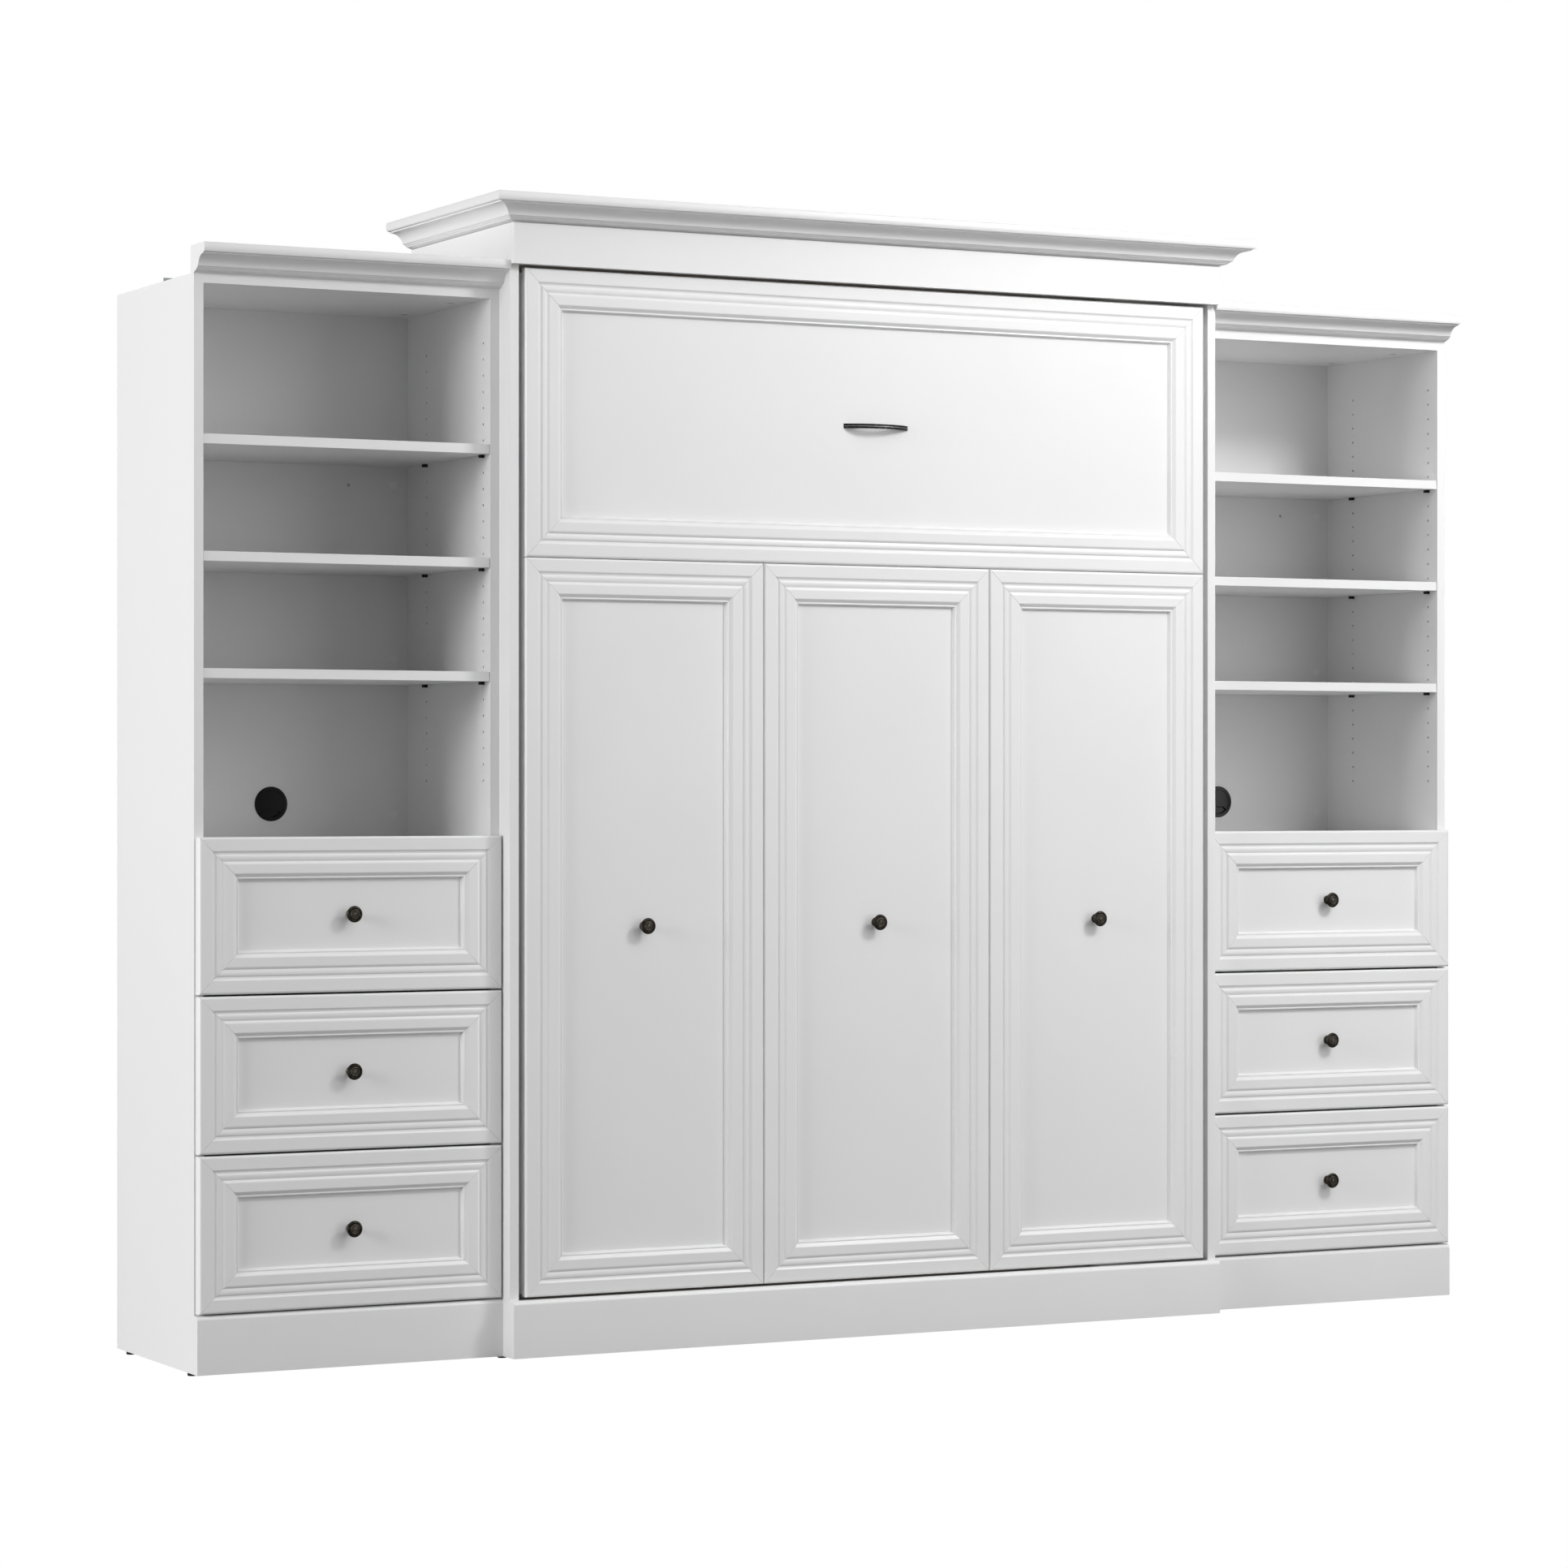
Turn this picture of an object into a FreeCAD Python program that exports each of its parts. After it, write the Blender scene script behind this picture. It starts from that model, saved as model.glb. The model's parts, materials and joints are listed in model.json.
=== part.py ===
"""Wall bed between two shelf cabinets. Lengths in mm, Z up, the wall behind at +Y."""
import FreeCAD
import Part
import math
import os

os.makedirs("parts", exist_ok=True)

V = FreeCAD.Vector
ALONG_X = V(1, 0, 0)
ALONG_Y = V(0, 1, 0)
ALONG_Z = V(0, 0, 1)

# Cabinets
board = 19.0
foot_height = 6.0
foot_radius = 9.3
foot_from_wall = 57.0
side_foot_from_front = 35.0
bed_foot_from_front = 60.0
side_width = 634.0
side_depth = 449.0
bed_width = 1640.0
bed_depth = 501.0
shelf_space = 1083.2
bed_rise = 125.4
frieze_height = 81.2
plinth_height = 112.5
plinth_round = 9.0
back_inset = 17.0
back_thick = 6.0
groove_depth = 8.0
fit = 0.1
running_gap = 0.3

# Crown moulding
crown_height = 52.5
crown_reach = 60.0
crown_setback = 3.0
crown_foot = 11.0
crown_foot_rise = 3.6
crown_reeds = 3
crown_reed_out = 4.15
crown_reed_up = 2.85
crown_reed_bulge = 1.0
crown_cove_out = 51.0
crown_cove_top = 31.5
crown_cove_sag = 6.0
crown_fillet = 2.2
crown_nose_rise = 35.0
crown_nose_round = 2.2

# Shelves and their holes
hole_radius = 2.5
hole_deep = 11.0
hole_count = 28
hole_pitch = 32.0
hole_above_deck = 114.6
hole_front = 35.0
hole_rear = 124.6
shelf_steps = 6, 13, 20
shelf_above_hole = 3.5
shelf_setback = 2.0
shelf_side_gap = 1.0
pin_tab = 12.0
pin_reach = 8.0
pin_drop = 2.5

# Cable grommets, screws and cover caps in the backs
grommet_above_deck = 67.4
grommet_radius = 35.0
grommet_hole = 30.0
grommet_slot_radius = 26.5
grommet_slot_half = 13.0
grommet_slot_top = 11.5
grommet_flap = 1.2
wall_screw_above_deck = 718.0
wall_screw_offset = 168.5
caps_above_deck = 43.8, 363.8, 720.8
cap_from_side = 31.0
cap_radius = 9.0
cap_thick = 1.4
stretcher_height = 80.0
lower_rail_drop = 500.0

# Drawers
drawer_count = 3
drawer_above_plinth = 3.1
drawer_height = 300.5
drawers_over_deck = 6.4
drawer_gap = 3.75
drawer_reveal = 3.2
drawer_standoff = 1.0
edge_round = 4.5
box_board = 15.0
box_below_front = 45.5
box_lift = 25.0
box_rear = 45.0
box_bottom_lift = 12.0
runner_space = 12.7
runner_height = 36.0
runner_metal = 1.2
runner_flange = 8.0
runner_lift = 34.0
screw_from_ends = 35.0

# Face of the bed
face_side_gap = 13.0
face_above_plinth = 4.8
face_below_frieze = 5.2
face_proud = 5.5
face_split_drop = 568.55
face_gap = 1.0
bed_knob_rise = 726.1
frame_thick = 20.0
frame_width = 84.0
frame_flat = 26.0
quirk_depth = 2.4
quirk_slope = 4.0
quirk_width = 7.5
bead_crown = 0.8
bead_width = 13.0
bead_rise = 7.0
slope_start = 69.3
slope_end = 76.6
slope_depth = 5.0
lip_start = 79.5
recess = 12.5
rebate = 10.0
infill_thick = 6.0
mitre_gap = 0.3
back_edge = 1.0
backing_inset = 0.5
backing_thick = 6.0
batten_wide = 12.0
batten_thick = 14.0

# Handle and knobs
handle_length = 151.0
handle_reach = 25.0
handle_tall = 10.0
handle_thick = 4.5
handle_band = 2.4
handle_band_deep = 0.7
handle_centres = 128.0
handle_post = 4.0
knob_rosette = 10.0
knob_neck = 5.5
knob_head = 16.5
knob_reach = 25.0

# Pivot, steel frame and slats
pivot_from_front = 96.5
pivot_height = 330.0
rail_inset = 20.0
rail_wide = 40.0
rail_deep = 60.0
tube_wall = 2.0
frame_above_face = 6.7
frame_below_top = 20.4
cross_shares = 0.33231, 0.66462
arm_thick = 6.0
arm_behind_pivot = 15.0
arm_over_pivot = 120.0
pivot_pin = 8.0
plate_thick = 4.0
slat_count = 20
slat_from_low = 85.0
slat_from_high = 125.0
slat_wide = 52.0
slat_thick = 9.0
slat_inset = 30.0
holder_wide = 48.0
holder_tall = 64.0
holder_deep = 24.0
holder_wall = 3.0

# Struts
strut_beside_rail = 18.5
strut_arm = 180.0
strut_lean = 15.0
strut_radius = 10.0
strut_bore = 8.2
strut_start = 14.0
strut_plug = 3.0
strut_length = 185.0
strut_gland = 8.0
strut_rod = 4.0
strut_rod_length = 201.0
piston_radius = 7.8
piston_length = 12.0
eye_radius = 11.0
eye_half = 5.0
strut_pin = 5.0
pin_head = 8.0

# Legs
leg_thick = 7.0
leg_side_gap = 3.0
leg_wide = 40.0
leg_from_front = 56.5
leg_drop = 176.0
leg_pin = 5.0

# Places that follow from the sizes above
plinth_top = foot_height + plinth_height
drawer_bottom = plinth_top + drawer_above_plinth
drawers_top = drawer_bottom + drawer_count * drawer_height + (drawer_count - 1) * drawer_gap
deck_top = drawers_top - drawers_over_deck
side_top = deck_top + shelf_space
bed_top = side_top + bed_rise
frieze_bottom = bed_top - frieze_height
hole_first = deck_top + hole_above_deck
grommet_height = deck_top + grommet_above_deck
wall_screw_height = deck_top + wall_screw_above_deck
cap_heights = [deck_top + rise for rise in caps_above_deck]
box_height = drawer_height - box_lift - box_below_front
face_bottom = plinth_top + face_above_plinth
face_top = frieze_bottom - face_below_frieze
face_split = face_top - face_split_drop
face_front = bed_depth + face_proud
face_half = bed_width / 2 - board - face_side_gap
door_split = face_half / 3
bed_knob_height = face_bottom + bed_knob_rise
backing_half = face_half - backing_inset
pivot_wall = face_front - pivot_from_front
rail_outer = face_half - rail_inset
frame_low = face_bottom + frame_above_face
frame_high = face_top - frame_below_top
cross_heights = [frame_low]
cross_heights += [frame_low + share * (frame_high - rail_wide - frame_low) for share in cross_shares]
cross_heights.append(frame_high - rail_wide)
arm_rear = pivot_wall - arm_behind_pivot
arm_top = pivot_height + arm_over_pivot
slat_first = frame_low + slat_from_low
slat_pitch = (frame_high - slat_from_high - slat_first) / (slat_count - 1)
slat_half = rail_outer - slat_inset
strut_plane = rail_outer + strut_beside_rail
leg_outer = bed_width / 2 - board - leg_side_gap
leg_inner = leg_outer - leg_thick
leg_pivot_wall = face_front - leg_from_front
leg_pivot_height = frame_high - leg_drop
face_back = face_front - frame_thick
backing_back = face_back - backing_thick
rail_back = backing_back - rail_deep
bed_half = bed_width / 2
bed_inner = bed_half - board
side_outer = bed_half + side_width
side_centre = bed_half + side_width / 2
side_inner = side_width / 2 - board
back_front = back_inset + back_thick
crown_front = bed_depth + board - crown_setback + crown_reach
rear = crown_front / 2
recess_front = face_front - recess
drawer_back = side_depth + drawer_standoff
SIDES = -1, 1


def block(x0, x1, d0, d1, z0, z1):
    """A box between two X places, two distances from the wall and two heights."""
    left, right = sorted((x0, x1))
    return Part.makeBox(right - left, d1 - d0, z1 - z0, V(left, rear - d1, z0))


def rod(x, d, z, axis, length, radius):
    """A round bar that starts at x, the distance d from the wall and the height z."""
    return Part.makeCylinder(radius, length, V(x, rear - d, z), axis)


def section(steps, place):
    """A closed face; a step is a point, or the middle and the end of an arc."""
    edges = []
    here = place(*steps[0])
    for step in steps[1:]:
        there = place(*step[-2:])
        if len(step) == 4:
            edges.append(Part.Arc(here, place(*step[:2]), there).toShape())
        else:
            edges.append(Part.makeLine(here, there))
        here = there
    edges.append(Part.makeLine(here, place(*steps[0])))
    return Part.Face(Part.Wire(edges))


def turned(steps, x, d, z):
    """A round piece standing out to the front; a step is a radius and a reach."""
    outline = section(steps, lambda r, s: V(x + r, rear - d - s, z))
    return outline.revolve(V(x, rear - d, z), ALONG_Y, 360)


def less(shape, tools):
    """The shape with all tools cut away."""
    return shape.cut(Part.makeCompound(tools)) if tools else shape


def joined(shapes):
    """One clean solid made of overlapping or touching shapes."""
    return shapes[0].multiFuse(shapes[1:]).removeSplitter()


def save(name, shapes):
    """Writes one node; its pieces stay separate solids."""
    solids = [solid for shape in shapes for solid in shape.Solids]
    whole = solids[0] if len(solids) == 1 else Part.makeCompound(solids)
    whole.exportStep("parts/" + name + ".step")


def rounded(shape, radius, wanted, across=False):
    """Rounds the edges whose ends pass the test; across keeps only those that lie along X."""
    edges = [e for e in shape.Edges if all(wanted(v.Point) for v in e.Vertexes)]
    if across:
        edges = [e for e in edges if abs(e.Vertexes[0].X - e.Vertexes[-1].X) > 1]
    return shape.makeFillet(radius, edges)


def near(a, b):
    return abs(a - b) < 0.001


def screw(x, d, z, axis, reach, head=4.0, shank=1.9, head_high=2.2):
    """A screw whose head lies outside the point and whose shank goes in along axis."""
    top = Part.makeCone(head * 0.7, head, head_high, V(x, rear - d, z) - axis * head_high, axis)
    return joined([top, rod(x, d, z, axis, reach, shank)])


# Joinery: dowels and cam fittings at the ends of the fixed boards
dowel_radius = 4.0
dowel_in_panel = 11.0
dowel_in_board = 20.0
cam_radius = 7.5
cam_inset = 34.0
cam_deep = 12.5
cam_bolt = 3.0
joint_places = 90.0, 330.0
dowel_offset = 32.0
dowels = []
cams = []
dowel_holes = []
cam_holes = []


def board_end(face, inward, z, d):
    """Adds one dowel and one cam fitting where a board meets a panel's face."""
    axis = ALONG_X * inward
    start = face - inward * dowel_in_panel
    reach = dowel_in_panel + dowel_in_board
    side = d + dowel_offset
    dowels.append(rod(start, side, z, axis, reach, dowel_radius - fit))
    hole_start = start - inward * running_gap
    dowel_holes.append(rod(hole_start, side, z, axis, reach + 2 * running_gap, dowel_radius))
    middle = face + inward * cam_inset
    low = z - board / 2
    bolt = rod(start, d, z, axis, cam_inset + dowel_in_panel, cam_bolt - fit)
    cam = rod(middle, d, low, ALONG_Z, cam_deep, cam_radius - fit)
    cams.append(joined([bolt, cam]))
    cam_holes.append(rod(hole_start, d, z, axis, cam_inset + dowel_in_panel + running_gap, cam_bolt))
    cam_holes.append(rod(middle, d, low, ALONG_Z, cam_deep + fit, cam_radius))


board_heights = plinth_top, deck_top, side_top
for side in SIDES:
    for end in SIDES:
        for top in board_heights:
            for place in joint_places:
                board_end(side * side_centre + end * side_inner, -end, top - board / 2, place)
for end in SIDES:
    for place in joint_places:
        board_end(end * bed_inner, -end, bed_top - board / 2, place)
fitting_holes = dowel_holes + cam_holes

# Drawer places, counted from the lowest
drawer_lows = [drawer_bottom + k * (drawer_height + drawer_gap) for k in range(drawer_count)]
runner_middles = [low + runner_lift + box_lift - box_bottom_lift for low in drawer_lows]
runner_front = side_depth - 4.0
runner_screw_places = box_rear + screw_from_ends, runner_front - screw_from_ends
screw_reach = 13.0

# Fixed runners and the screws that hold them
fixed_runners = []
screws = []
for side in SIDES:
    for end in SIDES:
        face = side * side_centre + end * side_inner
        for z in runner_middles:
            low = z - runner_height / 2
            high = z + runner_height / 2
            lip = face - end * (runner_metal + runner_flange)
            web_face = face - end * runner_metal
            channel = block(face, lip, box_rear, runner_front, low, high)
            inside = block(web_face, lip, box_rear, runner_front, low + runner_metal, high - runner_metal)
            channel = channel.cut(inside)
            for d in runner_screw_places:
                fixing = screw(web_face, d, z, ALONG_X * end, screw_reach)
                screws.append(fixing)
                channel = channel.cut(rod(face - end * 5, d, z, ALONG_X * end, 10, 1.9 + fit))
            fixed_runners.append(channel)

# Wall brackets on the cabinet tops
bracket_metal = 2.0
bracket_wide = 40.0
bracket_up = 40.0
bracket_run = 60.0
bracket_hole = 3.25
bracket_hole_up = 25.0
side_bracket_offset = 200.0
bed_bracket_offset = 500.0
bracket_places = [(side * side_centre + k * side_bracket_offset, side_top) for side in SIDES for k in SIDES]
bracket_places += [(k * bed_bracket_offset, bed_top) for k in SIDES]
brackets = []
for x, z in bracket_places:
    x0 = x - bracket_wide / 2
    x1 = x + bracket_wide / 2
    flat = block(x0, x1, 0, bracket_run, z, z + bracket_metal)
    upright = block(x0, x1, 0, bracket_metal, z, z + bracket_up)
    hook = joined([flat, upright])
    hook = hook.cut(rod(x, -1, z + bracket_hole_up, V(0, -1, 0), 4, bracket_hole))
    screws.append(screw(x, 42, z + bracket_metal, V(0, 0, -1), screw_reach))
    brackets.append(hook.cut(rod(x, 42, z - 1, ALONG_Z, 5, 1.9 + fit)))

# Pivot plates on the bed cabinet with the upper strut pins
lean = math.radians(strut_lean)
upper_wall = pivot_wall - strut_arm * math.sin(lean)
upper_height = pivot_height + strut_arm * math.cos(lean)
lower_wall = pivot_wall
lower_height = pivot_height - strut_arm
plate_inner = bed_inner - plate_thick
eye_outer = strut_plane + eye_half
eye_inner = strut_plane - eye_half
pivot_plates = []
for side in SIDES:
    out = ALONG_X * side
    plate = block(side * plate_inner, side * bed_inner, upper_wall - 30, pivot_wall + 30,
                  pivot_height - 45, upper_height + 30)
    plate = plate.cut(rod(side * (plate_inner - 1), pivot_wall, pivot_height, out, plate_thick + 2,
                          pivot_pin + running_gap))
    collar = rod(side * (eye_outer + running_gap), upper_wall, upper_height, out,
                 plate_inner - eye_outer - running_gap, pin_head)
    shaft = rod(side * (eye_inner - 3), upper_wall, upper_height, out,
                plate_inner - eye_inner + 3, strut_pin)
    head = rod(side * (eye_inner - 3 - running_gap), upper_wall, upper_height, out, 3, pin_head)
    plate = joined([plate, collar, shaft, head])
    for d, z in ((pivot_wall + 15, pivot_height - 28), (pivot_wall + 15, upper_height - 90),
                 (upper_wall - 18, upper_height + 17), (pivot_wall, upper_height + 17)):
        screws.append(screw(side * plate_inner, d, z, out, screw_reach + plate_thick))
        plate = plate.cut(rod(side * (plate_inner - 1), d, z, out, 6, 1.9 + fit))
    pivot_plates.append(plate)

# Screws through the backs into the wall rails
back_screws = []
for side in SIDES:
    for k in SIDES:
        x = side * side_centre + k * wall_screw_offset
        back_screws.append(screw(x, back_front, wall_screw_height, ALONG_Y, 20, 3.2))
screws += back_screws

# The shanks bored out of whatever they enter
screw_holes = []
for fixing in screws:
    screw_holes.append(fixing.copy())

# Glide feet with a stem in each panel
feet = []
foot_holes = []
foot_places = []
for side in SIDES:
    for x in (side_outer - board / 2, bed_half + board / 2):
        foot_places.append((side * x, side_depth - side_foot_from_front))
    foot_places.append((side * (bed_half - board / 2), bed_depth - bed_foot_from_front))
for x, front_foot in foot_places:
    for d in (foot_from_wall, front_foot):
        disc = rod(x, d, 0, ALONG_Z, foot_height, foot_radius)
        stem = rod(x, d, foot_height, ALONG_Z, 12, 4 - fit)
        feet.append(rounded(joined([disc, stem]), 1.0, lambda p: near(p.z, 0)))
        foot_holes.append(rod(x, d, foot_height, ALONG_Z, 12.5, 4))

# Shelf holes and shelf pins
holes = []
pins = []
for side in SIDES:
    for end in SIDES:
        face = side * side_centre + end * side_inner
        into = ALONG_X * end
        for d in (side_depth - hole_front, hole_rear):
            for k in range(hole_count):
                z = hole_first + k * hole_pitch
                holes.append(rod(face - end, d, z, into, hole_deep + 1, hole_radius))
            for k in shelf_steps:
                z = hole_first + k * hole_pitch
                stem = rod(face - end * 2, d, z, into, hole_deep + 1, hole_radius - fit)
                tab = block(face, face - end * pin_reach, d - pin_tab / 2, d + pin_tab / 2,
                            z - pin_drop, z + shelf_above_hole)
                pins.append(joined([tab, stem]))

# Side cabinets
panels = []
boards = []
backs = []
shelves = []
plinths = []
stretchers = []
grommets = []
caps = []
for side in SIDES:
    middle = side * side_centre
    left = middle - side_inner
    right = middle + side_inner
    groove = block(left - groove_depth, right + groove_depth, back_inset - fit, back_front + fit,
                   0, side_top + 1)
    for end in SIDES:
        face = middle + end * side_inner
        outer = face + end * board
        lower = block(face, outer, 0, side_depth, foot_height, deck_top)
        upper = block(face, outer, 0, side_depth, deck_top, side_top)
        tools = fitting_holes + screw_holes + foot_holes
        panels.append(less(lower.cut(groove), tools))
        panels.append(less(upper.cut(groove), fitting_holes + screw_holes + holes))
    for top in board_heights:
        shelf = block(left, right, back_front, side_depth, top - board, top)
        boards.append(less(shelf, fitting_holes + screw_holes))
    for low, high in ((foot_height, deck_top), (deck_top, side_top)):
        sheet = block(left - groove_depth + fit, right + groove_depth - fit, back_inset, back_front,
                      low, high)
        sheet = sheet.cut(rod(middle, 0, grommet_height, V(0, -1, 0), 40, grommet_hole + fit))
        backs.append(less(sheet, back_screws))
    for k in shelf_steps:
        low = hole_first + k * hole_pitch + shelf_above_hole
        shelves.append(block(left + shelf_side_gap, right - shelf_side_gap, back_front + 1,
                             side_depth - shelf_setback, low, low + board))
    base = block(side * bed_half, side * side_outer, side_depth, side_depth + board,
                 foot_height, plinth_top)
    front = rear - side_depth - board
    plinths.append(rounded(base, plinth_round, lambda p: near(p.z, plinth_top) and near(p.y, front)))
    for z in cap_heights + [deck_top - lower_rail_drop]:
        rail = block(left, right, 0, back_inset, z - stretcher_height / 2, z + stretcher_height / 2)
        rail = rail.cut(rod(middle, -1, grommet_height, V(0, -1, 0), 40, grommet_hole + 4))
        stretchers.append(less(rail, back_screws))
    for z in cap_heights:
        for end in SIDES:
            x = middle + end * (side_inner - cap_from_side)
            cap = rod(x, back_front, z, V(0, -1, 0), cap_thick, cap_radius)
            caps.append(rounded(cap, 0.8, lambda p: p.y < rear - back_front - 1))
    flange = turned([(0, 0), (grommet_radius, 0), (grommet_radius, 1.5), (grommet_radius - 2, 3),
                     (grommet_hole - 2, 3), (grommet_hole - 3, 2.2), (0, 2.2)],
                    middle, back_front, grommet_height)
    sleeve = rod(middle, back_front - 12, grommet_height, V(0, -1, 0), 12, grommet_hole - fit)
    bore = rod(middle, back_front - 13, grommet_height, V(0, -1, 0), 13, grommet_hole - 2)
    slot_tip = math.sqrt(grommet_slot_radius ** 2 - (grommet_slot_top + 6) ** 2)
    outline = [(-slot_tip, -grommet_slot_top - 6), (0, -grommet_slot_radius, slot_tip, -grommet_slot_top - 6),
               (grommet_slot_half, -grommet_slot_top), (-grommet_slot_half, -grommet_slot_top)]
    opening = section(outline, lambda x, z: V(middle + x, rear - back_front + 1, grommet_height + z))
    grommets.append(joined([flange, sleeve.cut(bore)]).cut(opening.extrude(V(0, -8, 0))))
    flap = rod(middle, back_front - grommet_flap, grommet_height, V(0, -1, 0), grommet_flap, grommet_hole - 2 - fit)
    grommets.append(flap)

# Bed cabinet
bed_panels = []
for side in SIDES:
    panel = block(side * bed_inner, side * bed_half, 0, bed_depth, foot_height, bed_top)
    bed_panels.append(less(panel, fitting_holes + screw_holes + foot_holes))
top_board = less(block(-bed_inner, bed_inner, 0, bed_depth, bed_top - board, bed_top),
                 fitting_holes + screw_holes)
front = rear - bed_depth - board
base = block(-bed_half, bed_half, bed_depth, bed_depth + board, foot_height, plinth_top)
plinths.append(rounded(base, plinth_round, lambda p: near(p.z, plinth_top) and near(p.y, front)))
frieze = block(-bed_half, bed_half, bed_depth, bed_depth + board, frieze_bottom, bed_top)
bed_rail_height = 100.0
bed_rail_lows = foot_height, 700.0, bed_top - board - bed_rail_height
for low in bed_rail_lows:
    stretchers.append(block(-bed_inner, bed_inner, 0, board, low, low + bed_rail_height))
headboard_low = 420.0
headboard_high = 1180.0
headboard = block(-bed_inner, bed_inner, board, 2 * board - 3, headboard_low, headboard_high)
block_size = 30.0
corner_blocks = []
for side in SIDES:
    corner_blocks.append(block(side * bed_inner, side * (bed_inner - block_size),
                               bed_depth - block_size, bed_depth, foot_height + 14, plinth_top - 30))

# Crown mouldings
crown_steps = [(-board, 0), (0, 0), (crown_foot, crown_foot_rise)]
for k in range(crown_reeds):
    mid_out = crown_foot + (k + 0.5) * crown_reed_out + 0.6 * crown_reed_bulge
    mid_up = crown_foot_rise + (k + 0.5) * crown_reed_up - 0.8 * crown_reed_bulge
    crown_steps.append((mid_out, mid_up, crown_foot + (k + 1) * crown_reed_out,
                        crown_foot_rise + (k + 1) * crown_reed_up))
cove_out, cove_up = crown_steps[-1][-2:]
cove_run = crown_cove_out - cove_out
cove_rise = crown_cove_top - cove_up
bow = crown_cove_sag / math.hypot(cove_run, cove_rise)
crown_steps += [
    (cove_out + cove_run / 2 - bow * cove_rise, cove_up + cove_rise / 2 + bow * cove_run,
     crown_cove_out, crown_cove_top),
    (crown_cove_out + 0.6, crown_cove_top + crown_fillet),
    (crown_reach - 1.9, crown_nose_rise),
    (crown_reach, (crown_nose_rise + crown_height) / 2, crown_reach - 1.4, crown_height - crown_nose_round),
    (crown_reach - 1.4 - 0.3 * crown_nose_round, crown_height - 0.3 * crown_nose_round,
     crown_reach - 1.4 - crown_nose_round, crown_height),
    (-board, crown_height),
]


def crown_length(x0, x1, reference, bottom):
    """Moulding along X whose back plane stands at the distance reference from the wall."""
    face = section(crown_steps, lambda p, h: V(x0, rear - reference - p, bottom + h))
    return face.extrude(V(x1 - x0, 0, 0))


def mitred(shape, corners, bottom):
    """Keeps the part of the shape inside a flat outline seen from above."""
    points = [V(x, rear - d, bottom - 1) for x, d in corners]
    outline = Part.Face(Part.makePolygon(points + points[:1]))
    return shape.common(outline.extrude(V(0, 0, crown_height + 2)))


side_crowns = []
for side in SIDES:
    x0, x1 = sorted((side * bed_half, side * side_outer))
    side_crowns.append(crown_length(x0, x1, side_depth, side_top))
far = crown_reach + 10
corner_x = bed_half - crown_setback
corner_d = bed_depth + board - crown_setback
long_piece = crown_length(-corner_x - far, corner_x + far, corner_d, bed_top)
near_x = corner_x - board
near_d = corner_d - board
outline = [(-near_x, near_d), (near_x, near_d), (corner_x + far, corner_d + far),
           (-corner_x - far, corner_d + far)]
bed_crown = [mitred(long_piece, outline, bed_top)]
for side in SIDES:
    face = section(crown_steps, lambda p, h: V(side * (corner_x + p), rear, bed_top + h))
    strip = face.extrude(V(0, -(corner_d + far), 0))
    outline = [(side * near_x, -1), (side * near_x, near_d), (side * (corner_x + far), corner_d + far),
               (side * (corner_x + far), -1)]
    bed_crown.append(mitred(strip, outline, bed_top))


# Knobs and handle
def knob(x, d, z):
    """A turned knob with a rosette, a neck and a ringed head."""
    under = knob_reach - 11
    steps = [(0, 0), (knob_rosette, 0), (knob_rosette, 1.6), (knob_rosette - 2, 3), (knob_neck, 4),
             (knob_neck - 0.5, 8, knob_neck, under - 2), (knob_neck + 3, under - 0.5),
             (knob_head - 1, under + 0.8, knob_head, under + 3.5), (knob_head, under + 5),
             (knob_head - 1.2, under + 7), (knob_head - 4, under + 8), (knob_head - 4.6, under + 7.4),
             (knob_head - 5.4, under + 8.2), (knob_head - 8.6, under + 9.6),
             (knob_head - 9.2, under + 9), (knob_head - 10, under + 9.8),
             (knob_head - 12.5, knob_reach - 0.4), (knob_head - 15, knob_reach), (0, knob_reach)]
    return turned(steps, x, d, z)


handle_height = (face_split + face_gap / 2 + face_top) / 2
handle_radius = ((handle_length / 2) ** 2 + handle_reach ** 2) / (2 * handle_reach)
handle_centre = recess_front + handle_reach - handle_radius
half_tall = handle_tall / 2
outer = handle_radius
cut_in = handle_radius - handle_band_deep
ridge = 1.3
strap_steps = [(outer - handle_thick, -half_tall), (cut_in, -half_tall), (outer, 0.8 - half_tall),
               (outer, -ridge - handle_band), (cut_in, -ridge - handle_band + 0.3),
               (cut_in, -ridge), (outer, -ridge + 0.3), (outer, ridge - 0.3), (cut_in, ridge),
               (cut_in, ridge + handle_band - 0.3), (outer, ridge + handle_band),
               (outer, half_tall - 0.8), (cut_in, half_tall), (outer - handle_thick, half_tall)]
strap_face = section(strap_steps, lambda r, s: V(r, rear - handle_centre, handle_height + s))
strap = strap_face.revolve(V(0, rear - handle_centre, 0), ALONG_Z, -180)
in_front = block(-handle_length, handle_length, recess_front, recess_front + 100,
                 handle_height - 20, handle_height + 20)
handle_parts = [strap.common(in_front)]
for side in SIDES:
    x = side * handle_centres / 2
    rise = math.sqrt((handle_radius - 2) ** 2 - x ** 2) + handle_centre - recess_front
    handle_parts.append(rod(x, recess_front, handle_height, V(0, -1, 0), rise, handle_post))
handle = joined(handle_parts)


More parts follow.
